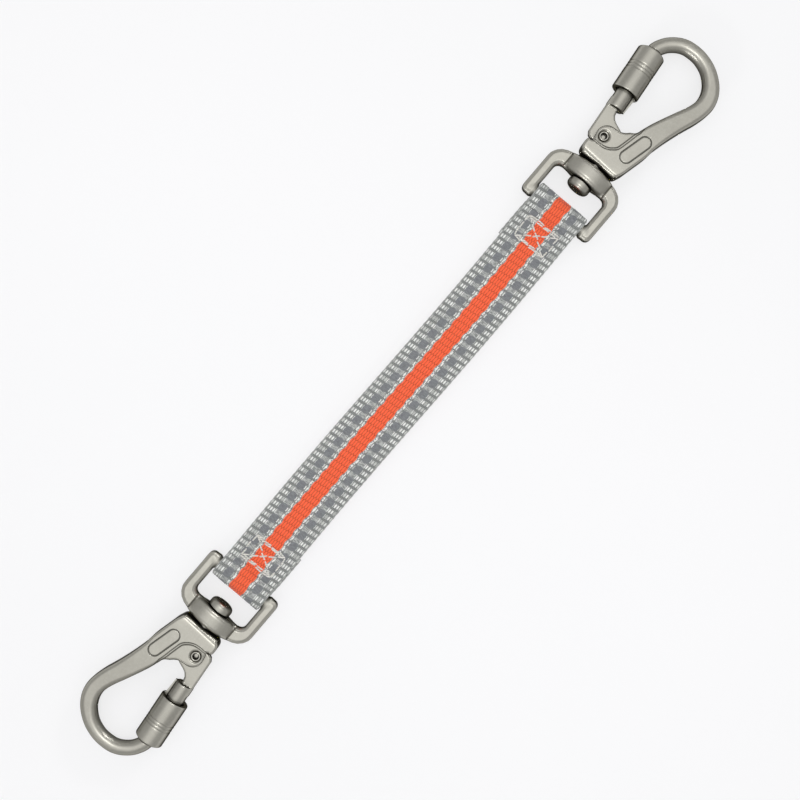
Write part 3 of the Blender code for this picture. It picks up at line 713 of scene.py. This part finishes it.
COLUMN = 2.317  # half the pattern's repeat along the strap
ROW = 0.88  # a yarn's pitch across it
SLANT = 0.155
ORANGE_HALF = 2.62
SQUARE_MIDDLE, SQUARE_HALF_WIDTH, SQUARE_HALF_LENGTH = 5.35, 1.38, 1.62
SELVAGE_START = 9.25


def weave(along, across):
    """The webbing's pattern: shares of each feature, and the relief in millimetres."""
    side = size(across)
    phase = (along + SLANT * across) / COLUMN
    column = floor(phase + 0.5)
    in_column = phase - column
    odd = remainder(column, 2.0)
    from_square = size(phase - 2.0 * floor(phase * 0.5 + 0.5))
    row_place = across / ROW + 0.5 * odd
    row = floor(row_place)
    in_row = row_place - row - 0.5
    edge = ORANGE_HALF - 0.2 * cosine(math.pi * from_square)
    orange = ramp(side, edge + 0.1, edge - 0.1)
    selvage = ramp(side, SELVAGE_START - 0.1, SELVAGE_START + 0.1)
    long_side = from_square * COLUMN / SQUARE_HALF_LENGTH
    tall_side = size(side - SQUARE_MIDDLE) / SQUARE_HALF_WIDTH
    corner = larger(long_side, tall_side) + 0.35 * (long_side + tall_side)
    square = ramp(corner, 1.44, 1.3)
    track = ramp(size(side - SQUARE_MIDDLE), 1.24, 1.10)
    gap = track * (1.0 - square)
    length_shape = 1.0 - 2.6 * in_column * in_column
    width_shape = 1.0 - 4.0 * in_row * in_row
    float_shape = larger(length_shape * width_shape, 0.0)
    pad = larger(1.0 - 0.45 * (long_side * long_side + tall_side * tall_side), 0.0)
    relief = float_shape * (1.0 - track) * (1.0 - 0.7 * selvage) * 0.22
    relief = relief + square * (0.06 + 0.14 * pad) + gap * 0.03
    return {
        "orange": orange,
        "selvage": selvage,
        "square": square,
        "gap": gap,
        "float": float_shape,
        "side": side,
        "edge": edge,
        "from_square": from_square,
        "in_column": in_column,
        "in_row": in_row,
        "row": row,
        "column": column,
        "relief": relief,
    }


STRAP_LAYER = 0.95
STRAP_HALF_THICKNESS = 0.66
TAIL_END, SEWN_END = 61.5, 74.5
FOLD_RADIUS = BAR_RADIUS + CLEARANCE + 0.8
STRAP_SWAY = 0.33
TAIL_SHIFT = 0.5
STRAP_ROWS, STRAP_COLUMNS = 660, 64
RIM_WIDTH = 0.55  # how far in the woven edge's rounding reaches
SCALLOP = 0.05


def strap_line():
    """The strap's middle line (along, height), evenly spaced, from tail to tail."""
    half = [(0.0, STRAP_LAYER), (35.0, STRAP_LAYER), (60.0, STRAP_LAYER), (73.0, STRAP_LAYER)]
    half.append((SEWN_END, STRAP_LAYER + 0.1))
    for step in range(9):
        angle = math.radians(118 - 236 * step / 8)
        half.append((BAR_X + FOLD_RADIUS * math.cos(angle), FOLD_RADIUS * math.sin(angle)))
    half += [(SEWN_END, -STRAP_LAYER - 0.1), (73.0, -STRAP_LAYER), (TAIL_END, -STRAP_LAYER)]
    line = np.array(spline_through([(-x, z) for x, z in reversed(half[1:])] + half, 12))
    gone = np.concatenate([[0], np.cumsum(np.linalg.norm(np.diff(line, axis=0), axis=1))])
    even = np.linspace(0, gone[-1], STRAP_ROWS)
    return np.stack([np.interp(even, gone, line[:, n]) for n in range(2)], -1), even - gone[-1] / 2


def fill_corners(mesh):
    """Closes the small three-sided holes left beside the quads of an end."""
    work = bmesh.new()
    work.from_mesh(mesh)
    rims = [edge for edge in work.edges if edge.is_boundary]
    bmesh.ops.holes_fill(work, edges=rims, sides=4)
    work.to_mesh(mesh)
    work.free()
    mesh.shade_smooth()


def strap_mesh():
    """One woven ribbon with a raised weave on both faces, folded round both bars."""
    line, along = strap_line()
    ahead = np.gradient(line, axis=0)
    ahead /= np.linalg.norm(ahead, axis=1)[:, None]
    normal = np.stack([-ahead[:, 1], ahead[:, 0]], -1)
    columns = STRAP_COLUMNS
    half = STRAP_HALF_WIDTH - SCALLOP
    closer_at_rims = -half * np.cos(np.linspace(0, math.pi, columns))
    face = closer_at_rims * 0.12 + np.linspace(-half, half, columns) * 0.88
    across = np.concatenate([face, face[-2:0:-1]])
    side = np.concatenate([np.ones(columns), -np.ones(columns - 2)])
    lengths, widths = np.meshgrid(along, across, indexing="ij")
    pattern = weave(lengths + COLUMN * (side < 0), widths)
    rim = np.clip((half - np.abs(widths)) / RIM_WIDTH, 0, 1)
    rounding = np.sqrt(1 - (1 - rim) ** 2)
    offset = side * rounding * (STRAP_HALF_THICKNESS + pattern["relief"] - 0.03)
    tail = np.clip((np.abs(lengths) - SEWN_END - 6) / 18, 0, 1)
    sway = -STRAP_SWAY * np.sin(math.pi * np.clip(lengths / SEWN_END, -1, 1))
    sway = sway + np.sign(lengths) * TAIL_SHIFT * tail
    scallop = SCALLOP * np.cos(2 * math.pi * lengths / COLUMN) * np.sign(widths) * (1 - rim)
    points = np.stack(
        [
            line[:, 0, None] + normal[:, 0, None] * offset,
            widths + sway + scallop,
            line[:, 1, None] + normal[:, 1, None] * offset,
        ],
        -1,
    )
    rows, ring = lengths.shape
    number = np.arange(rows * ring).reshape(rows, ring)
    after = np.roll(number, -1, 1)
    skin = np.stack([number[:-1], number[1:], after[1:], after[:-1]], -1).reshape(-1, 4)
    caps = []
    for end, turn in ((number[0], 1), (number[-1], -1)):
        front = end[:columns]
        back = np.concatenate([end[:1], end[columns:][::-1], end[columns - 1 : columns]])
        cap = np.stack([front[1:-2], back[1:-2], back[2:-1], front[2:-1]], -1)
        caps.append(cap[:, ::-turn])
    mesh = fine_mesh("webbing_strap", points.reshape(-1, 3), np.concatenate([skin, *caps]))
    fill_corners(mesh)
    facts = np.stack([lengths + COLUMN * (side < 0), widths, np.zeros_like(widths)], -1)
    place = mesh.attributes.new("weave", "FLOAT_VECTOR", "POINT")
    place.data.foreach_set("vector", facts.astype(np.float32).ravel())
    return mesh


TACK_NEAR, TACK_FAR, TACK_HALF_WIDTH = 63.8, 72.2, 6.0
THREAD_RADIUS = 0.25
STITCH_PITCH = 2.7
STITCH_SLIP = 0.28  # how far a stitch's end strays from its row
STITCH_SINK, STITCH_RISE = 0.42, 0.62
DOUBLE_ROW = 0.62


def tack_lines(face):
    """The stitches on one face of the overlap: a box, doubled at its ends, and a cross."""
    half = TACK_HALF_WIDTH
    chance = random.Random(7 + face)
    runs = []
    for x, inward in ((TACK_NEAR, DOUBLE_ROW), (TACK_FAR, -DOUBLE_ROW)):
        runs.append(((x, -half), (x, half)))
        runs.append(((x + inward, half - 0.5), (x + inward, 0.9 - half)))
    for y in (-half, half):
        runs.append(((TACK_NEAR, y), (TACK_FAR, y)))
    for slant in (1, -1):
        runs.append(((TACK_NEAR, -half * slant), (TACK_FAR, half * slant)))
    lines = []
    surface = STRAP_LAYER + STRAP_HALF_THICKNESS + 0.1
    for start, end in runs:
        start = Vector(start)
        end = Vector(end)
        count = round((end - start).length / STITCH_PITCH)
        aside = Vector((start.y - end.y, end.x - start.x)).normalized()
        for index in range(count):
            slip = [chance.uniform(-STITCH_SLIP, STITCH_SLIP) for _ in range(2)]
            line = []
            for step in range(11):
                t = step / 10
                place = start.lerp(end, (index + 0.04 + 0.92 * t) / count)
                place += aside * (slip[0] * (1 - t) + slip[1] * t)
                height = surface - STITCH_SINK + STITCH_RISE * math.sin(math.pi * t) ** 0.55
                sway = STRAP_SWAY * -math.sin(math.pi * place.x / SEWN_END)
                line.append((place.x, face * (place.y + sway * face), face * height))
            lines.append(line)
    return lines


# ---- materials ----------------------------------------------------------------------------
class Surface:
    """A new material: a Principled shader and short ways to feed it."""

    def __init__(self, name, **constants):
        self.material = bpy.data.materials.new(name)
        self.material.use_nodes = True
        self.tree = self.material.node_tree
        self.shader = self.tree.nodes["Principled BSDF"]
        for socket, value in constants.items():
            self.shader.inputs[socket.replace("_", " ")].default_value = value

    def node(self, kind, **settings):
        """A new shader node with those settings."""
        node = self.tree.nodes.new(kind)
        for name, value in settings.items():
            setattr(node, name, value)
        return node

    def object_place(self):
        """The place on the piece, in metres."""
        return self.node("ShaderNodeTexCoord").outputs["Object"]

    def parts_of(self, vector):
        split = self.node("ShaderNodeSeparateXYZ")
        self.tree.links.new(vector, split.inputs[0])
        return [Field(self.tree, socket) for socket in split.outputs]

    def vector_of(self, *parts):
        join = self.node("ShaderNodeCombineXYZ")
        for place, part in zip(join.inputs, parts):
            if isinstance(part, Field):
                self.tree.links.new(part.socket, place)
            else:
                place.default_value = part
        return join.outputs[0]

    def noise(self, vector, scale, detail=2.0, rough=0.5):
        """Cloudy values about 0.5, with that many clouds to a unit of the vector."""
        node = self.node("ShaderNodeTexNoise")
        self.tree.links.new(vector, node.inputs["Vector"])
        node.inputs["Scale"].default_value = scale
        node.inputs["Detail"].default_value = detail
        node.inputs["Roughness"].default_value = rough
        return Field(self.tree, node.outputs["Fac"])

    def mix(self, share, first, second):
        """A colour that goes from the first, at share 0, to the second, at 1."""
        node = self.node("ShaderNodeMix", data_type="RGBA")
        self.tree.links.new(share.socket, node.inputs["Factor"])
        for place, value in zip((node.inputs[6], node.inputs[7]), (first, second)):
            if isinstance(value, tuple):
                place.default_value = (*value, 1.0)
            else:
                self.tree.links.new(value, place)
        return node.outputs[2]

    def set(self, socket, value):
        value = value.socket if isinstance(value, Field) else value
        self.tree.links.new(value, self.shader.inputs[socket])

    def bump(self, height, distance):
        """Height runs from 0 to 1 over that distance in millimetres."""
        node = self.node("ShaderNodeBump")
        node.inputs["Distance"].default_value = distance * MM
        self.tree.links.new(height.socket, node.inputs["Height"])
        self.tree.links.new(node.outputs[0], self.shader.inputs["Normal"])


PLATE = (0.445, 0.432, 0.382)
PLATE_DARK = (0.405, 0.393, 0.348)
PLATE_PALE_AND_HIGHLIGHT = (0.52, 0.51, 0.465)
PLATE_FLANK_SHADE = (0.09, 0.087, 0.076)
PLATE_CREASE_SHADE = (0.10, 0.096, 0.085)


def plated_metal(name, grain, roughness):
    """Satin plate: painted shade on the flanks and in the creases, edges lightened partly for wear and
    partly as a painted highlight, and a fine grain.
    """
    surface = Surface(name, Metallic=1.0, Specular_Tint=(0.15, 0.145, 0.13, 1.0))
    place = surface.object_place()
    broad = surface.noise(place, 110.0, 3.0)
    fine = surface.noise(place, 1500.0, 3.0, 0.6)
    stored = surface.node("ShaderNodeAttribute", attribute_name="bend")
    bend = Field(surface.tree, stored.outputs["Fac"])
    facing = surface.node("ShaderNodeTexCoord").outputs["Normal"]
    upward = size(surface.parts_of(facing)[2])
    # painted shade: the less a face looks straight up, the darker its colour
    flank_shade = ramp(upward, 0.66, 0.28)
    # painted shade in the creases; the same mask also makes them a little duller
    crease_dullness_and_shade = ramp(bend, -0.02, -0.16)
    # outer edges lightened: partly wear, partly a painted highlight; the same mask makes them a little
    # smoother
    wear_and_highlight = ramp(bend, 0.05, 0.17)
    color = surface.mix(ramp(broad, 0.32, 0.70), PLATE_DARK, PLATE)
    color = surface.mix(ramp(fine, 0.40, 0.75) * 0.35, color, PLATE_PALE_AND_HIGHLIGHT)
    color = surface.mix(flank_shade * 0.9, color, PLATE_FLANK_SHADE)
    color = surface.mix(crease_dullness_and_shade * 0.85, color, PLATE_CREASE_SHADE)
    color = surface.mix(wear_and_highlight * (1.0 - flank_shade) * 0.3, color, PLATE_PALE_AND_HIGHLIGHT)
    surface.set("Base Color", color)
    uneven = roughness + 0.10 * (fine - 0.5) + 0.06 * (broad - 0.5)
    surface.set("Roughness", uneven + 0.10 * crease_dullness_and_shade - 0.05 * wear_and_highlight)
    surface.bump(0.5 * fine + 0.5 * grain(surface, place), 0.010)
    return surface.material


def cast_grain(surface, place):
    """The fine, even grain of a blasted die casting."""
    return surface.noise(place, 4200.0, 2.0)


def turned_grain(surface, place):
    """Fine rings round the barrel's axis, left by the lathe."""
    x, y, _ = surface.parts_of(place)
    along = x * BARREL_ALONG.x + y * BARREL_ALONG.y
    return surface.noise(surface.vector_of(along, 0.0, 0.0), 5200.0, 2.0)


def spring_steel():
    """Drawn wire, a little streaked."""
    surface = Surface("spring_steel", Metallic=1.0)
    place = surface.object_place()
    drawn = surface.noise(place, 1800.0, 3.0)
    surface.set("Base Color", surface.mix(drawn, (0.36, 0.35, 0.34), (0.52, 0.51, 0.50)))
    surface.set("Roughness", 0.28 + 0.15 * drawn)
    surface.bump(drawn, 0.01)
    return surface.material


ORANGE_LOW, ORANGE_CREST, ORANGE_HAIR = (0.46, 0.032, 0.008), (0.93, 0.120, 0.040), (1.0, 0.25, 0.10)
HEATHER_LOW, HEATHER_CREST, HEATHER_BAR = (0.13, 0.138, 0.134), (0.42, 0.43, 0.415), (0.52, 0.53, 0.51)
WHITE_YARN, WHITE_SPECK = (0.86, 0.87, 0.85), (0.84, 0.85, 0.82)
FLOAT_END_SHADE, DARK_SPECK = (0.07, 0.08, 0.078), (0.12, 0.13, 0.13)
FILLING_LOW, FILLING_HIGH = (0.22, 0.23, 0.225), (0.50, 0.51, 0.50)
PAD_LOW, PAD_HIGH, PAD_HAIR = (0.155, 0.163, 0.174), (0.225, 0.234, 0.246), (0.28, 0.29, 0.31)
SELVAGE_LOW, SELVAGE_HIGH = (0.19, 0.20, 0.19), (0.46, 0.47, 0.45)


def woven_webbing():
    """Orange centre, flecked heather borders and a row of grey squares on each side."""
    surface = Surface("woven_webbing", Sheen_Weight=0.25, Sheen_Roughness=0.5)
    weave_place = surface.node("ShaderNodeAttribute", attribute_name="weave").outputs["Vector"]
    along, across, _ = surface.parts_of(weave_place)
    wobble = surface.noise(weave_place, 0.9, 2.0)
    along = along + 0.28 * (wobble - 0.5)
    across = across + 0.10 * (surface.noise(weave_place, 1.7, 1.0) - 0.5)
    pattern = weave(along, across)
    crest = pattern["float"]
    cell = surface.vector_of(pattern["column"] * 3.7, pattern["row"] * 5.3, 0.5)
    yarn = surface.noise(cell, 1.0, 0.0)
    fibres = surface.noise(surface.vector_of(along * 1.6, across * 9.0, 0.0), 1.0, 2.0)
    threads = surface.noise(surface.vector_of(along * 4.6, across * 0.8, 0.0), 1.0, 1.0)
    hair = surface.noise(weave_place, 6.0, 3.0)
    middle = size(pattern["in_column"])
    # the yarn's own tone, darker towards the hollows between floats as painted shade
    orange = surface.mix(ramp(crest + 0.35 * (fibres - 0.5), 0.0, 0.6), ORANGE_LOW, ORANGE_CREST)
    orange = surface.mix(ramp(fibres, 0.45, 0.8) * 0.65, orange, ORANGE_HAIR)
    # the heather too gets painted shade in the hollows between floats
    heather = surface.mix(ramp(crest + 0.5 * (fibres - 0.5), 0.0, 0.6), HEATHER_LOW, HEATHER_CREST)
    bar = ramp(middle, 0.11, 0.05)
    heather = surface.mix(bar * 0.5, heather, HEATHER_BAR)
    dash = ramp(size(pattern["in_row"]), 0.30, 0.16) * ramp(middle, 0.30, 0.20)
    heather = surface.mix(dash * ramp(yarn, 0.28, 0.55), heather, WHITE_YARN)
    # painted shade: dark spots at the ends of the floats, in the middle of each row
    shade = ramp(size(pattern["in_row"]), 0.30, 0.16) * ramp(size(middle - 0.40), 0.10, 0.05)
    heather = surface.mix(shade * 0.75, heather, FLOAT_END_SHADE)
    near_edge = ramp(size(pattern["side"] - pattern["edge"] - 0.55), 0.42, 0.22)
    speck = surface.noise(surface.vector_of(along * 1.9, across * 2.6, 3.0), 1.0, 0.0)
    heather = surface.mix(near_edge * ramp(speck, 0.50, 0.58), heather, WHITE_SPECK)
    heather = surface.mix(near_edge * ramp(speck, 0.40, 0.33) * 0.7, heather, DARK_SPECK)
    color = surface.mix(pattern["orange"], heather, orange)
    filling = surface.mix(ramp(threads, 0.35, 0.65), FILLING_LOW, FILLING_HIGH)
    outside = ramp(pattern["side"], SQUARE_MIDDLE + 0.85, SQUARE_MIDDLE + 1.05)
    filling = surface.mix(outside * ramp(pattern["from_square"], 0.66, 0.74), filling, WHITE_YARN)
    color = surface.mix(pattern["gap"], color, filling)
    pad = surface.mix(ramp(threads, 0.3, 0.7), PAD_LOW, PAD_HIGH)
    pad = surface.mix(ramp(fibres, 0.55, 0.85) * 0.3, pad, PAD_HAIR)
    color = surface.mix(pattern["square"], color, pad)
    selvage = surface.mix(ramp(fibres, 0.3, 0.7), SELVAGE_LOW, SELVAGE_HIGH)
    color = surface.mix(pattern["selvage"], color, selvage)
    surface.set("Base Color", color)
    surface.set("Roughness", 0.78 + 0.16 * hair)
    surface.bump(0.55 * crest + 0.3 * fibres + 0.25 * hair, 0.12)
    return surface.material


TWIST_LENGTH = 0.0009


def white_thread():
    """Bonded thread: two plies twisted together."""
    surface = Surface("white_thread", Sheen_Weight=0.3, Sheen_Roughness=0.4)
    place = surface.object_place()
    x, y, z = surface.parts_of(place)
    twist = ramp(cosine((x + y + z) * (2 * math.pi / TWIST_LENGTH)), -0.8, 0.8)
    fibres = surface.noise(place, 6000.0, 2.0)
    # painted shade: the thread is darker in the groove between its two plies
    color = surface.mix(twist, (0.52, 0.50, 0.46), (0.82, 0.80, 0.76))
    surface.set("Base Color", surface.mix(ramp(fibres, 0.3, 0.8) * 0.4, color, (0.84, 0.83, 0.79)))
    surface.set("Roughness", 0.55 + 0.2 * fibres)
    surface.bump(0.7 * twist + 0.3 * fibres, 0.05)
    return surface.material


def studio_floor():
    """White seamless paper, lit a little from within so that it stays white."""
    surface = Surface("studio_floor", Roughness=0.9, Emission_Color=(1, 1, 1, 1), Emission_Strength=0.68)
    place = surface.object_place()
    mottle = surface.noise(place, 14.0, 4.0)
    surface.set("Base Color", surface.mix(mottle, (0.260, 0.260, 0.270), (0.270, 0.270, 0.280)))
    surface.bump(surface.noise(place, 700.0, 2.0), 0.01)
    return surface.material


# ---- camera, floor and light ------------------------------------------------------------
AXIS_IN_VIEW = math.radians(49.62)  # the strap's slope in the frame, seen from above
VIEW_RIGHT = Vector((math.cos(AXIS_IN_VIEW), -math.sin(AXIS_IN_VIEW), 0))
VIEW_UP = Vector((math.sin(AXIS_IN_VIEW), math.cos(AXIS_IN_VIEW), 0))
CAMERA_DISTANCE = 0.35
CAMERA_SHIFT = (0.00006, -0.00118)
FIELD_WIDTH = 0.26
SENSOR_WIDTH = 36.0
LOW_LIGHT_REACH, LOW_LIGHT_HEIGHT, LOW_LIGHT_TARGET = 0.50, 0.27, 0.14
LOW_LIGHT_POWER = 0.035
LOW_LIGHT_SPREAD = math.radians(26)


def add_camera():
    """Straight down on the strap, turned so that it lies on the picture's diagonal."""
    data = bpy.data.cameras.new("camera")
    data.sensor_width = SENSOR_WIDTH
    data.lens = SENSOR_WIDTH * CAMERA_DISTANCE / FIELD_WIDTH
    camera = bpy.data.objects.new("camera", data)
    bpy.context.scene.collection.objects.link(camera)
    camera.location = VIEW_RIGHT * CAMERA_SHIFT[0] + VIEW_UP * CAMERA_SHIFT[1]
    camera.location.z = CENTRE_HEIGHT * MM + CAMERA_DISTANCE
    camera.rotation_euler.z = -AXIS_IN_VIEW
    bpy.context.scene.camera = camera


def add_floor():
    """The paper that the strap lies on."""
    work = bmesh.new()
    bmesh.ops.create_grid(work, x_segments=8, y_segments=8, size=3.0)
    mesh = bpy.data.meshes.new("floor")
    work.to_mesh(mesh)
    work.free()
    mesh.materials.append(studio_floor())
    ground = bpy.data.objects.new("floor", mesh)
    bpy.context.scene.collection.objects.link(ground)


def add_area(name, place, target, width, height, power, spread=math.pi):
    """A rectangular soft box that faces its target."""
    data = bpy.data.lights.new(name, "AREA")
    data.shape = "RECTANGLE"
    data.size = width
    data.size_y = height
    data.energy = power
    data.spread = spread
    light = bpy.data.objects.new(name, data)
    bpy.context.scene.collection.objects.link(light)
    away = (Vector(target) - Vector(place)).normalized()
    across = Vector((-away.y, away.x, 0)).normalized() if abs(away.z) < 0.99 else VIEW_RIGHT
    light.matrix_world = Matrix((across, across.cross(away), -away)).transposed().to_4x4()
    light.location = place


def add_light():
    """A pale sky with a brighter cap, a small overhead box and a low box off each end."""
    world = bpy.data.worlds.new("studio")
    bpy.context.scene.world = world
    world.use_nodes = True
    tree = world.node_tree
    split = tree.nodes.new("ShaderNodeSeparateXYZ")
    tree.links.new(tree.nodes.new("ShaderNodeTexCoord").outputs["Generated"], split.inputs[0])
    blend = tree.nodes.new("ShaderNodeMapRange")
    blend.interpolation_type = "SMOOTHSTEP"
    for socket, value in {"From Min": 0.70, "From Max": 0.92, "To Min": 0.55, "To Max": 1.20}.items():
        blend.inputs[socket].default_value = value
    tree.links.new(split.outputs[2], blend.inputs["Value"])
    background = tree.nodes["Background"]
    tree.links.new(blend.outputs[0], background.inputs["Strength"])
    background.inputs["Color"].default_value = (1.0, 1.0, 1.0, 1.0)
    add_area("overhead", (0.0, 0.0, 0.65), (0.0, 0.0, 0.0), 0.10, 0.10, 0.55)
    for name, side in (("low_end", -1), ("high_end", 1)):
        place = (side * LOW_LIGHT_REACH, 0.0, LOW_LIGHT_HEIGHT)
        target = (side * -LOW_LIGHT_TARGET, 0.0, 0.0)
        add_area(name, place, target, 0.40, 0.08, LOW_LIGHT_POWER, LOW_LIGHT_SPREAD)
    bpy.context.scene.view_settings.view_transform = "Standard"


# ---- assembly ------------------------------------------------------------------------------
RAISE = Matrix.Translation((0, 0, CENTRE_HEIGHT * MM))
ALONG_X = Matrix.Rotation(math.pi / 2, 4, "Y")


def barrel_matrix():
    """From the barrel's own axes to the end's: its Z runs along, its Y across."""
    turn = Matrix.Rotation(math.atan2(BARREL_ALONG.y, BARREL_ALONG.x), 4, "Z")
    return Matrix.Translation(BARREL_FOOT * MM) @ turn @ ALONG_X


def place_piece(name, mesh, material, body, nodes, matrix):
    """Stands a finished mesh in for its CAD nodes, on the body that they belong to."""
    mesh.materials.clear()
    mesh.materials.append(material)
    piece = bpy.data.objects.new(name, mesh)
    bpy.context.scene.collection.objects.link(piece)
    piece.matrix_world = matrix
    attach(piece, body)
    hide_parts(*nodes)
    return piece


def baked_in(mesh, matrix):
    """Puts a matrix into a mesh, so that the piece keeps the end's own frame."""
    mesh.transform(matrix)
    return mesh


def squash_spring(piece):
    """The sleeve pushes its spring together against the neck's end; here the spring only gets a mesh of
    its own, and the share of its length it would keep is worked out but not used.
    """
    length = SPRING_END - NECK_END - CLEARANCE
    keep = 1 - SLEEVE_TRAVEL / length
    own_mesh(piece)


def end_meshes():
    """Each piece of one end: mesh, body, material slot."""
    barrel = barrel_matrix()
    pivot = Matrix.Translation(PIVOT * MM)
    eye = field_mesh("swivel_eye", eye_field, (76.4, -14.8, -5.1), (97.8, 14.8, 5.1), 0.2)
    pin = field_mesh("swivel_pin", pin_field, (87.1, -4.5, -4.5), (102.6, 4.5, 4.5), 0.16)
    hook = field_mesh("hook_body", hook_field, (97.4, -18.2, -4.4), (150.0, 13.2, 4.4), 0.18)
    rivet = field_mesh("gate_rivet", rivet_field, (-1.9, -1.9, -3.5), (1.9, 1.9, 3.5), 0.09)
    gate = field_mesh("gate", gate_field, (103.0, 0.0, -3.5), (126.6, 11.6, 3.5), 0.16)
    core = field_mesh("gate_core", core_field, (-2.7, -2.7, 13.1), (2.7, 2.7, 33.4), 0.14)
    sleeve = field_mesh("locking_sleeve", sleeve_field, (-5.1, -5.1, 15.7), (5.1, 5.1, 33.4), 0.13)
    return {
        "swivel_eye": (eye, "eye", "cast_metal"),
        "swivel_pin": (pin, "hook", "turned_metal"),
        "hook_body": (hook, "hook", "cast_metal"),
        "gate_rivet": (baked_in(rivet, pivot), "hook", "turned_metal"),
        "gate_spring": (gate_spring_mesh(), "hook", "spring_wire"),
        "gate": (gate, "gate", "cast_metal"),
        "gate_core": (baked_in(core, barrel), "gate", "turned_metal"),
        "locking_sleeve": (baked_in(sleeve, barrel), "sleeve", "turned_metal"),
        "sleeve_spring": (baked_in(sleeve_spring_mesh(), barrel), "gate", "spring_wire"),
    }


def place_end(prefix, matrix, meshes, looks):
    """Places one end's hardware and gives its stitching back."""
    for name, (mesh, body, slot) in meshes.items():
        node = f"{prefix}_{name}"
        piece = place_piece(node + "_fine", mesh, looks[slot], f"{prefix}_{body}", [node], matrix)
        if name == "sleeve_spring":
            squash_spring(piece)
    slot = "sewing_thread"
    stitching = []
    for face, side in ((1, "front"), (-1, "back")):
        mesh = tube_mesh("tack", tack_lines(face), THREAD_RADIUS, 8)
        node = f"{prefix}_{side}_tack_stitching"
        stitching.append(place_piece(node + "_fine", mesh, looks[slot], "strap", [node], matrix))
    return stitching


def place_strap(look):
    """Places the webbing; the length it was cut to is worked out but not used."""
    nodes = ["webbing_strap"]
    strap = place_piece("webbing_strap_fine", strap_mesh(), look, "strap", nodes, RAISE)
    length = 2 * float(strap_line()[1][-1])


def main():
    add_camera()
    add_floor()
    add_light()
    looks = {
        "cast_metal": plated_metal("satin_casting", cast_grain, 0.36),
        "turned_metal": plated_metal("turned_plate", turned_grain, 0.34),
        "spring_wire": spring_steel(),
        "webbing": woven_webbing(),
        "sewing_thread": white_thread(),
    }
    meshes = end_meshes()
    stitching = []
    for prefix, turn in (("right", 0.0), ("left", math.pi)):
        stitching += place_end(prefix, RAISE @ Matrix.Rotation(turn, 4, "Z"), meshes, looks)
    place_strap(looks["webbing"])


main()
